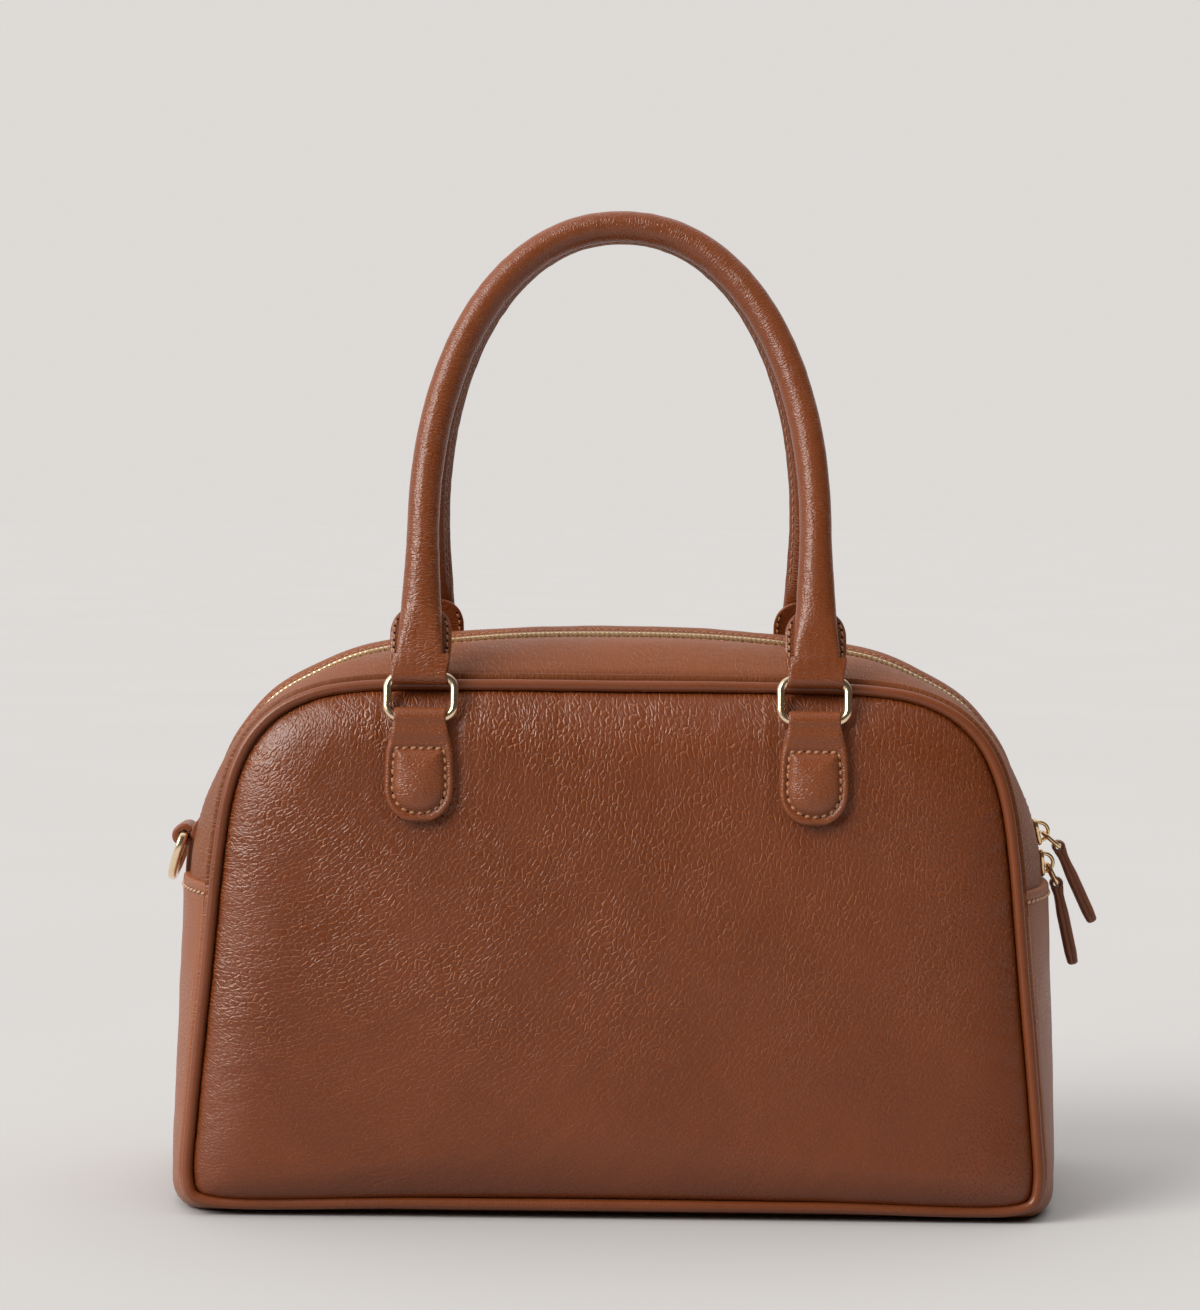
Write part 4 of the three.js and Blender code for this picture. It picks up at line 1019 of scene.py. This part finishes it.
RING = wire_ring()
for face in ("front", "back"):
    for x in (RING_X, -RING_X):
        side = "right" if (x > 0) == (face == "front") else "left"
        put = lambda p, x=x, face=face: (lean_front(p + (x, 0, 0)) if face == "front" else half_turn(lean_front(p + (x, 0, 0))))
        node = f"ring_{face}_{side}"
        piece(node + "_wire", RING.moved(put), gold, f"{face}_handle", node)


# ---------------------------------------------------------------- handles
# Leather from the tongue's tip down behind, round the ring's upper bar, up in front and into the roll.
NOTCH = 21.6
TONGUE_TOP = 40.6
FRONT_COLS, BACK_COLS = 33, 17
SEAM_AT = math.radians(200)


def strap_section(centre, outward, lateral, half, edge, bulge=0.0, bulge_half=1.0, fan=0.0):
    """Closed section of the flat strap: plate of half thickness edge with an optional swell and gathers on its outer side."""
    t = np.linspace(-1, 1, FRONT_COLS)
    t = np.sin(t * np.pi / 2)
    x = half * t
    d = half * (1 - np.abs(t))
    plate = edge * (0.25 + 0.75 * np.sqrt(np.maximum(1 - (1 - np.clip(d / max(edge, 0.3), 0, 1)) ** 2, 0)))
    outer = plate + bulge * np.sqrt(np.maximum(1 - (x / bulge_half) ** 2, 0))
    outer = outer + fan * np.cos(2 * np.pi * x / 2.9 + 1.3 * np.sin(0.9 * x)) * smooth(d, 0.6, 2.2)
    tb = t[::2][::-1]
    xb = half * tb
    inner = -plate[::2][::-1]
    o = centre + x[:, None] * lateral + outer[:, None] * outward
    i = centre + xb[:, None] * lateral + inner[:, None] * outward
    return np.concatenate([o, i], 0)


def strap_front(x, k):
    """How far the strap's front stands before the handle's middle."""
    return 3.25 + 0.95 * k * np.sqrt(np.maximum(1 - (x / (9.3 - 1.2 * k)) ** 2, 0))


def roll_section(centre, outward, lateral, half, front, back, groove=0.0, power=2.0, strap=None, fan=0.0):
    """Closed section of the rolled part, matching the strap's points."""
    t = np.sin(np.linspace(-1, 1, FRONT_COLS) * np.pi / 2)
    o_x, o_d = half * t, front * np.maximum(1 - np.abs(t) ** power, 0) ** (1 / power)
    tb = t[::2][::-1]
    i_x, i_d = half * tb, -back * np.sqrt(np.maximum(1 - tb ** 2, 0))
    if strap is not None:
        # right above the notch the roll still has the strap's front
        o_d = o_d + (strap_front(o_x, 1.0) - o_d) * strap
    o_d = o_d + fan * np.cos(2 * np.pi * o_x / 2.9 + 1.3 * np.sin(0.9 * o_x)) * smooth(half - np.abs(o_x), 0.8, 2.6)
    # seam pressed into the inner side
    cut = groove * bell(tb + 0.86, 0.10)
    i_d = i_d + cut * 0.9
    i_x = i_x + cut * 0.5
    o = centre + o_x[:, None] * lateral + o_d[:, None] * outward
    i = centre + i_x[:, None] * lateral + i_d[:, None] * outward
    return np.concatenate([o, i], 0)


def leg_sizes(w):
    half = spline1([21, 26, 34, 44, 55, 66], [7.85, 7.6, 7.1, 6.5, 5.85, 5.45], w)
    front = spline1([21, 26, 34, 44, 55, 66], [4.0, 4.3, 4.7, 5.0, 5.25, 5.4], w)
    back = spline1([21, 30, 36, 42, 50, 66], [1.4, 1.8, 2.5, 3.7, 4.8, 5.4], w)
    return half, front, back


def tongue_half(w):
    return spline1([15, 20, 26, 31, 35, 38, 39.7, 40.5], [9.35, 9.9, 10.45, 10.4, 9.4, 7.2, 4.6, 1.4], w)


def tongue_n(w):
    """How far behind the middle the tongue lies."""
    return spline1([17, 24, 30, 36, 40], [2.5, 2.7, 3.1, 3.9, 4.5], w)


def end_sections():
    """Right-hand strap end, from the tongue's tip to the notch, in the handle's own frame."""
    X = np.array([1.0, 0, 0])
    out = []
    for w in np.concatenate([TONGUE_TOP - 0.1 - 8 * (1 - np.cos(np.linspace(0, np.pi / 2, 14))), np.linspace(31, 18, 12)]):
        slope = (tongue_n(w + 0.2) - tongue_n(w - 0.2)) / 0.4
        o = unit(np.array([0, 1.0, -slope]))
        out.append(strap_section(np.array([HANDLE_X, tongue_n(w), w]), o, X, float(tongue_half(w)), 0.75))
    for q in np.linspace(0, np.pi, 19)[1:-1]:
        o = np.array([0, math.cos(q), -math.sin(q)])
        out.append(strap_section(np.array([HANDLE_X, 0, RING_BAR + 0.4]) + 2.5 * o, o, X, 9.35, 0.75))
    for w in np.linspace(RING_BAR + 0.4, NOTCH - 0.25, 16):
        k = smooth(w, 14.0, NOTCH)
        half = 9.35 + 0.85 * smooth(w, 15, 20)
        gather = 0.07 * smooth(w, 14.9, 19.8)
        out.append(strap_section(np.array([HANDLE_X, -2.5, w]), np.array([0, -1.0, 0]), X, half, 0.75, 0.95 * k, 9.3 - 1.2 * k, gather))
    end = out[-1].copy()
    end[:, 0] = HANDLE_X + (end[:, 0] - HANDLE_X) * 0.985
    end[:, 2] += 0.12
    out.append(end)
    return np.array(out)


def arch(q):
    c, s = np.cos(q), np.sin(q)
    return np.stack([HANDLE_X * np.sign(c) * np.abs(c) ** (2 / HANDLE_POWER), np.zeros_like(q),
                     HANDLE_SPRING + (HANDLE_APEX - HANDLE_SPRING) * np.abs(s) ** (2 / HANDLE_POWER)], -1)


def roll_path():
    legs = np.linspace(NOTCH + 0.1, HANDLE_SPRING, 40)
    right = np.stack([np.full(40, HANDLE_X), np.zeros(40), legs], 1)
    bend = arch(np.linspace(0, np.pi, 1600))
    return right, even_path(bend, 1.35)[1:-1]


def handle_roll():
    right, bend = roll_path()
    path = np.concatenate([right, bend, right[::-1] * (-1, 1, 1)])
    run = unit(np.gradient(path, axis=0))
    run[:len(right)] = (0, 0, 1)
    run[-len(right):] = (0, 0, -1)
    front_way = np.array([0, -1.0, 0])
    lateral = np.cross(front_way, run) * -1
    s = np.concatenate([[0], np.cumsum(np.linalg.norm(np.diff(path, axis=0), axis=1))])
    out = []
    for i, p in enumerate(path):
        half, front, back = (float(a) for a in leg_sizes(np.array(min(p[2], HANDLE_SPRING))))
        bent = smooth(p[2], 90, 150)
        wrinkle = (0.06 + 0.05 * bent) * lattice_noise(s[i] / 3.3, np.linspace(0, 4, FRONT_COLS + BACK_COLS), 71)
        power = 2.0 + 3.2 * (1 - smooth(p[2], NOTCH - 2, 40))
        held = 1 - smooth(p[2], NOTCH - 0.5, NOTCH + 9)
        ring = roll_section(p, front_way, lateral[i], half, front, back, groove=1.2 * smooth(p[2], 40, 52), power=power,
                            strap=held * bell(np.sin(np.linspace(-1, 1, FRONT_COLS) * np.pi / 2), 0.92) ** 0.6 if held > 0 else None,
                            fan=0.07 * (1 - smooth(p[2], NOTCH, NOTCH + 7)))
        ring = p + (ring - p) * (1 + wrinkle / 5.4)[:, None]
        out.append(ring)
    return np.array(out), path, lateral


def handle():
    ends = end_sections()
    roll, path, lateral = handle_roll()
    left = ends[::-1].copy()
    left[..., 0] *= -1
    # the strap and the roll share one skin: same order of points, outer side first
    sections = np.concatenate([ends, roll, left], 0)
    return Form().loft(sections)


def handle_stitches():
    f = Form()
    _, path, lateral = handle_roll()
    keep = path[:, 2] > 46
    p, l = path[keep], lateral[keep]
    run = unit(np.gradient(p, axis=0))
    out = unit(-0.86 * l + np.array([0, 0.52, 0]))
    half, front, back = leg_sizes(np.minimum(p[:, 2], HANDLE_SPRING))
    sew(f, p - l * (half * 0.80)[:, None] + np.array([0, 1.0, 0]) * (back * 0.50)[:, None] - out * 0.15, out, pitch=3.3, thread=0.30, holes=False)
    for x in (HANDLE_X, -HANDLE_X):
        for side in (-1, 1):
            w = np.linspace(NOTCH + 0.6, 35.0, 30)
            line = np.stack([x + side * np.minimum(tongue_half(w) - 1.35, 8.95), tongue_n(w) - 0.78, w], 1)
            sew(f, line, np.broadcast_to((0.0, -1.0, 0.0), line.shape), pitch=2.8, thread=0.34)
            line = line + (0, 1.56, 0)
            sew(f, line, np.broadcast_to((0.0, 1.0, 0.0), line.shape), pitch=2.8, thread=0.34)
    return f


HANDLE, HANDLE_SEAM = handle(), handle_stitches()
for face in ("front", "back"):
    put = lean_front if face == "front" else (lambda p: half_turn(lean_front(p)))
    piece(f"handle_{face}_leather", HANDLE.moved(put), roll_leather, f"{face}_handle", f"handle_{face}")
    piece(f"handle_{face}_stitching", HANDLE_SEAM.moved(put), [thread, painted_hole_shade], f"{face}_handle", ())


# ---------------------------------------------------------------- side loop and D-ring
D_ROW = mirror_row(10.02)
D_IN, D_OUT = 1.85, 3.45


def d_pivot():
    p, n = gusset_frame(np.array(D_ROW), np.array(0.0))
    return p + n * (GAP + D_OUT), n


D_PIVOT, D_NORMAL = d_pivot()


def side_loop():
    """Leather strip up from under the flap, once round the ring's bar and back to itself."""
    rows = np.linspace(mirror_row(FLAP_ROW - 0.35), D_ROW, 14)
    p, n = gusset_frame(rows, np.zeros(14))
    mid = (D_IN + D_OUT) / 2
    tail = p + n * (GAP + 0.8)
    a0 = math.atan2(-D_NORMAL[2], -D_NORMAL[0])
    q = a0 + np.linspace(0, -1.72 * np.pi, 44)[1:]
    circle = np.stack([D_PIVOT[0] + mid * np.cos(q), np.zeros(43), D_PIVOT[2] + mid * np.sin(q)], 1)
    path = np.concatenate([tail, circle])
    run = unit(np.gradient(path, axis=0))
    side = np.array([0, 1.0, 0])
    out = np.cross(run, side)
    half, thick = 8.5, 0.8
    t = np.sin(np.linspace(-1, 1, 25) * np.pi / 2)
    d = half * (1 - np.abs(t))
    plate = thick * (0.3 + 0.7 * np.sqrt(np.maximum(1 - (1 - np.clip(d / 0.8, 0, 1)) ** 2, 0)))
    y = half * t
    sections = []
    for i in range(len(path)):
        # fuller round the outside of the turn
        away = np.sign(np.dot(out[i], path[i] - D_PIVOT))
        more = 0.85 * smooth(i, 24, 34) * (1 - 0.6 * smooth(i, 50, 56)) * plate / thick
        o = path[i] + y[:, None] * side + (plate + more * (away > 0))[:, None] * out[i]
        b = (path[i] + y[:, None] * side - (plate + more * (away < 0))[:, None] * out[i])[::-1][::2]
        sections.append(np.concatenate([o, b]))
    f = Form().loft(np.array(sections))
    # inner layer, flat on the gusset, that the loop comes back to
    rows = np.linspace(mirror_row(FLAP_ROW - 0.35), D_ROW - 0.44, 30)
    p, n = gusset_frame(rows, np.zeros(30))
    high = 2.0 * smooth(rows, D_ROW - 0.44, D_ROW - 0.20) * (0.75 + 0.25 * smooth(rows, D_ROW + 0.1, D_ROW - 0.1)) + 0.05
    sections = []
    for i in range(30):
        o = p[i] + 0.985 * y[:, None] * side + (high[i] * (0.3 + 0.7 * plate / thick))[:, None] * n[i]
        b = (p[i] + 0.985 * y[:, None] * side - 0.4 * n[i])[::-1][::2]
        sections.append(np.concatenate([o, b]))
    return f.loft(np.array(sections))


piece("side_loop_leather", side_loop(), trim_leather, "bag", "side_tab_left")


def closed_spline(points, count):
    return curve_at(np.asarray(points, float), np.linspace(0, len(points), count, endpoint=False))


def d_ring():
    rows = [(5, 0), (9.4, 0), (11.2, 0.9), (11.9, 3.6), (10.8, 8.6), (6.6, 13.4)]
    pts = [(a, -d) for a, d in rows] + [(0, -15.4)] + [(-a, -d) for a, d in rows[::-1]]
    p = even_path(closed_spline(pts, 900), 0.5, closed=True)
    path = np.stack([np.zeros(len(p)), p[:, 0], p[:, 1]], 1)
    run = unit(np.roll(path, -1, 0) - np.roll(path, 1, 0))
    side = np.array([1.0, 0, 0])
    inward = np.cross(run, side)
    q = np.arange(28) * 2 * np.pi / 28
    e = 2 / 2.9
    c, s = np.sign(np.cos(q)) * np.abs(np.cos(q)) ** e, np.sign(np.sin(q)) * np.abs(np.sin(q)) ** e
    heavy = 1.42 + 0.18 * smooth(-path[:, 2], 2, 8)
    ring = path[:, None] + 1.5 * c[None, :, None] * side + (heavy[:, None] * s[None])[..., None] * inward[:, None]
    f = Form().loft(ring, closed=True)
    a = math.radians(18)
    ca, sa = math.cos(a), math.sin(a)
    return f.moved(lambda v: np.stack([v[:, 0] * ca + v[:, 2] * sa, v[:, 1], -v[:, 0] * sa + v[:, 2] * ca], 1) + D_PIVOT)


piece("d_ring_cast", d_ring(), gold, "d_ring", "d_ring_left")


# ---------------------------------------------------------------- sliders, links and pulls
def lean_out(degrees):
    a = math.radians(degrees)
    return np.array([math.sin(a), 0, -math.cos(a)])


def slider(row, link_lean, pull_lean):
    base, n = gusset_frame(np.array(row), np.array(0.0))
    base = base + n * (0.2 + GAP)
    lo, _ = gusset_frame(np.array(row - 0.05), np.array(0.0))
    hi, _ = gusset_frame(np.array(row + 0.05), np.array(0.0))
    down, across = unit(lo - hi), np.array([0.0, 1, 0])
    out = np.cross(down, across)
    at = lambda d, a, o: base + np.multiply.outer(d, down) + np.multiply.outer(a, across) + np.multiply.outer(o, out)
    body = Form()
    # plate: broad shoulders, narrower tail, bevelled rim
    k = np.linspace(0, 2 * np.pi, 56, endpoint=False)
    e = 2 / 3.4
    d0 = 4.8 * np.sign(np.cos(k)) * np.abs(np.cos(k)) ** e
    a0 = (4.1 - 0.55 * smooth(d0, -1.0, 4.6)) * np.sign(np.sin(k)) * np.abs(np.sin(k)) ** e
    waist = 1 - 0.10 * bell(d0 - 0.6, 2.2)
    a0 = a0 * waist
    rim = [(0.86, 0.0), (0.97, 0.12), (1.0, 0.42), (1.0, 0.95), (0.965, 1.25), (0.90, 1.42), (0.5, 1.5), (0.1, 1.52)]
    body.loft(np.array([at(d0 * f, a0 * f, np.full(56, o)) for f, o in rim]))
    # bow
    q = np.linspace(-0.18, np.pi + 0.18, 40)
    path = at(3.2 * np.cos(q), np.zeros(40), 1.5 + 3.2 * np.sin(q))
    run = unit(np.gradient(path, axis=0))
    inward = np.cross(run, across)
    k = np.arange(18) * 2 * np.pi / 18
    c, s = np.sign(np.cos(k)) * np.abs(np.cos(k)) ** 0.72, np.sign(np.sin(k)) * np.abs(np.sin(k)) ** 0.72
    wide = 1.05 + 0.25 * np.abs(np.cos(q)) ** 3
    body.loft(path[:, None] + (wide[:, None] * c[None])[..., None] * across + 0.70 * s[None, :, None] * inward[:, None])
    # link
    hook = base + out * (1.5 + 0.75 + GAP) + down * 0.7
    way = lean_out(link_lean)
    loop = even_path(rounded_loop(9.2, 7.5, 2.2, 12), 0.4, closed=True)
    link_path = hook + loop[:, :1] * across + loop[:, 2:] * way
    link = tube(Form(), link_path, np.cross(way, across), 0.75, sides=14, closed=True)
    # pull: two layers sewn together, folded round the link
    eye = hook + way * 7.5
    fall = lean_out(pull_lean)
    up = -fall
    thick_way = np.cross(up, across)
    pull = Form()
    length = 29.5
    t = np.concatenate([np.linspace(1.15, 6, 12), np.linspace(6.6, length - 3.2, 34), length - 3.2 + 3.2 * np.sin(np.linspace(0.1, 1, 12) * np.pi / 2)])
    k = np.arange(40) * 2 * np.pi / 40
    c, s = np.sign(np.cos(k)) * np.abs(np.cos(k)) ** 0.55, np.sign(np.sin(k)) * np.abs(np.sin(k)) ** 0.62
    body_sections = []
    for d in t:
        wide = 3.1 * (0.86 + 0.14 * smooth(d, 2, 9)) * math.sqrt(max(1 - max(0, (d - (length - 3.2)) / 3.25) ** 2.4, 0.02))
        half_t = (1.72 + 0.45 * (1 - smooth(d, 1.0, 4.5)) + 0.36 * smooth(d, 5, 12) - 0.28 * smooth(d, length - 5, length)) * math.sqrt(max(1 - max(0, (d - (length - 1.1)) / 1.15) ** 2, 0.03))
        layer = 1 - 0.13 * bell(s * half_t, 0.22) * (np.abs(c) > 0.4)
        sewn = -0.14 * bell(np.abs(c) * wide - (wide - 1.15), 0.35) * smooth(d, 5, 8) * (1 - smooth(d, length - 3.4, length - 2))
        body_sections.append(eye + fall * d + (wide * c * layer)[:, None] * across + ((half_t + sewn) * s)[:, None] * thick_way)
    pull.loft(np.array(body_sections))
    q = np.linspace(-0.80 * np.pi, 0.80 * np.pi, 36)
    ring = []
    for a in q:
        o = up * math.cos(a) + thick_way * math.sin(a)
        m = eye + o * 1.72
        k2 = np.arange(28) * 2 * np.pi / 28
        cc, ss = np.sign(np.cos(k2)) * np.abs(np.cos(k2)) ** 0.5, np.sign(np.sin(k2)) * np.abs(np.sin(k2)) ** 0.8
        ring.append(m + 2.66 * cc[:, None] * across + 0.60 * ss[:, None] * o)
    pull.loft(np.array(ring))
    return body, link, pull


for name, row, link_lean, pull_lean in (("upper", 10.28, 50, 25), ("lower", 9.48, 27, 12.5)):
    body, link, pull = slider(row, link_lean, pull_lean)
    piece(f"zip_slider_{name}_cast", body, warm_gold, "bag", f"zip_slider_{name}", sharp=40)
    piece(f"pull_link_{name}_wire", link, warm_gold, "bag", f"pull_link_{name}")
    piece(f"zip_pull_{name}_leather", pull, pull_leather, "bag", f"zip_pull_{name}")



# ---------------------------------------------------------------- floor and light
def stage():
    bpy.ops.mesh.primitive_circle_add(vertices=96, radius=30.0, fill_type="NGON", location=(0, 0, 0))
    floor = bpy.context.object
    floor.name = "floor"
    floor.data.materials.append(floor_finish("floor", (0.414, 0.410, 0.410)))

    # sky: pale behind and to the left, brightest overhead, dim in front of the bag and to its right
    world = bpy.data.worlds.new("studio")
    bpy.context.scene.world = world
    world.use_nodes = True
    tree = world.node_tree
    tree.nodes.clear()
    out = tree.nodes.new("ShaderNodeOutputWorld")
    sky = tree.nodes.new("ShaderNodeBackground")
    place = tree.nodes.new("ShaderNodeTexCoord")
    toward = tree.nodes.new("ShaderNodeVectorMath")
    toward.operation = "DOT_PRODUCT"
    toward.inputs[1].default_value = (-0.62, 0.85, 0.30)
    level = tree.nodes.new("ShaderNodeMapRange")
    level.inputs["From Min"].default_value, level.inputs["From Max"].default_value = -0.15, 0.62
    shade = tree.nodes.new("ShaderNodeValToRGB")
    shade.color_ramp.elements[0].position, shade.color_ramp.elements[0].color = 0.0, (0.070, 0.060, 0.050, 1)
    shade.color_ramp.elements[1].position, shade.color_ramp.elements[1].color = 1.0, (0.728, 0.701, 0.678, 1)
    tree.links.new(place.outputs["Generated"], toward.inputs[0])
    tree.links.new(toward.outputs["Value"], level.inputs["Value"])
    tree.links.new(level.outputs["Result"], shade.inputs["Fac"])
    overhead = tree.nodes.new("ShaderNodeVectorMath")
    overhead.operation = "DOT_PRODUCT"
    overhead.inputs[1].default_value = (-0.10, 0.42, 0.90)
    tree.links.new(place.outputs["Generated"], overhead.inputs[0])
    above = tree.nodes.new("ShaderNodeMapRange")
    above.interpolation_type = "SMOOTHSTEP"
    for name, value in (("From Min", 0.60), ("From Max", 1.0), ("To Min", 0.0), ("To Max", 0.22)):
        above.inputs[name].default_value = value
    tree.links.new(overhead.outputs["Value"], above.inputs["Value"])
    lit = tree.nodes.new("ShaderNodeVectorMath")
    tree.links.new(shade.outputs["Color"], lit.inputs[0])
    tree.links.new(above.outputs["Result"], lit.inputs[1])
    tree.links.new(lit.outputs[0], sky.inputs["Color"])
    sky.inputs["Strength"].default_value = 1.0
    tree.links.new(sky.outputs[0], out.inputs[0])

    # key: broad soft light from the upper left, a little in front
    data = bpy.data.lights.new("key", "SUN")
    data.energy, data.angle, data.color = 3.08, math.radians(35), (1.0, 0.965, 0.92)
    key = bpy.data.objects.new("key", data)
    bpy.context.scene.collection.objects.link(key)
    key.rotation_mode = "QUATERNION"
    key.rotation_quaternion = Vector((0.66, 0.50, -0.56)).to_track_quat("-Z", "Y")
    # fill: wide even light from above, without shine
    data = bpy.data.lights.new("fill", "SUN")
    data.energy, data.angle, data.color = 2.40, math.radians(95), (1.0, 0.985, 0.97)
    fill = bpy.data.objects.new("fill", data)
    bpy.context.scene.collection.objects.link(fill)
    fill.visible_glossy = False
    view = bpy.context.scene.view_settings
    view.view_transform, view.look, view.exposure, view.gamma = "Standard", "None", 0.0, 1.0


stage()
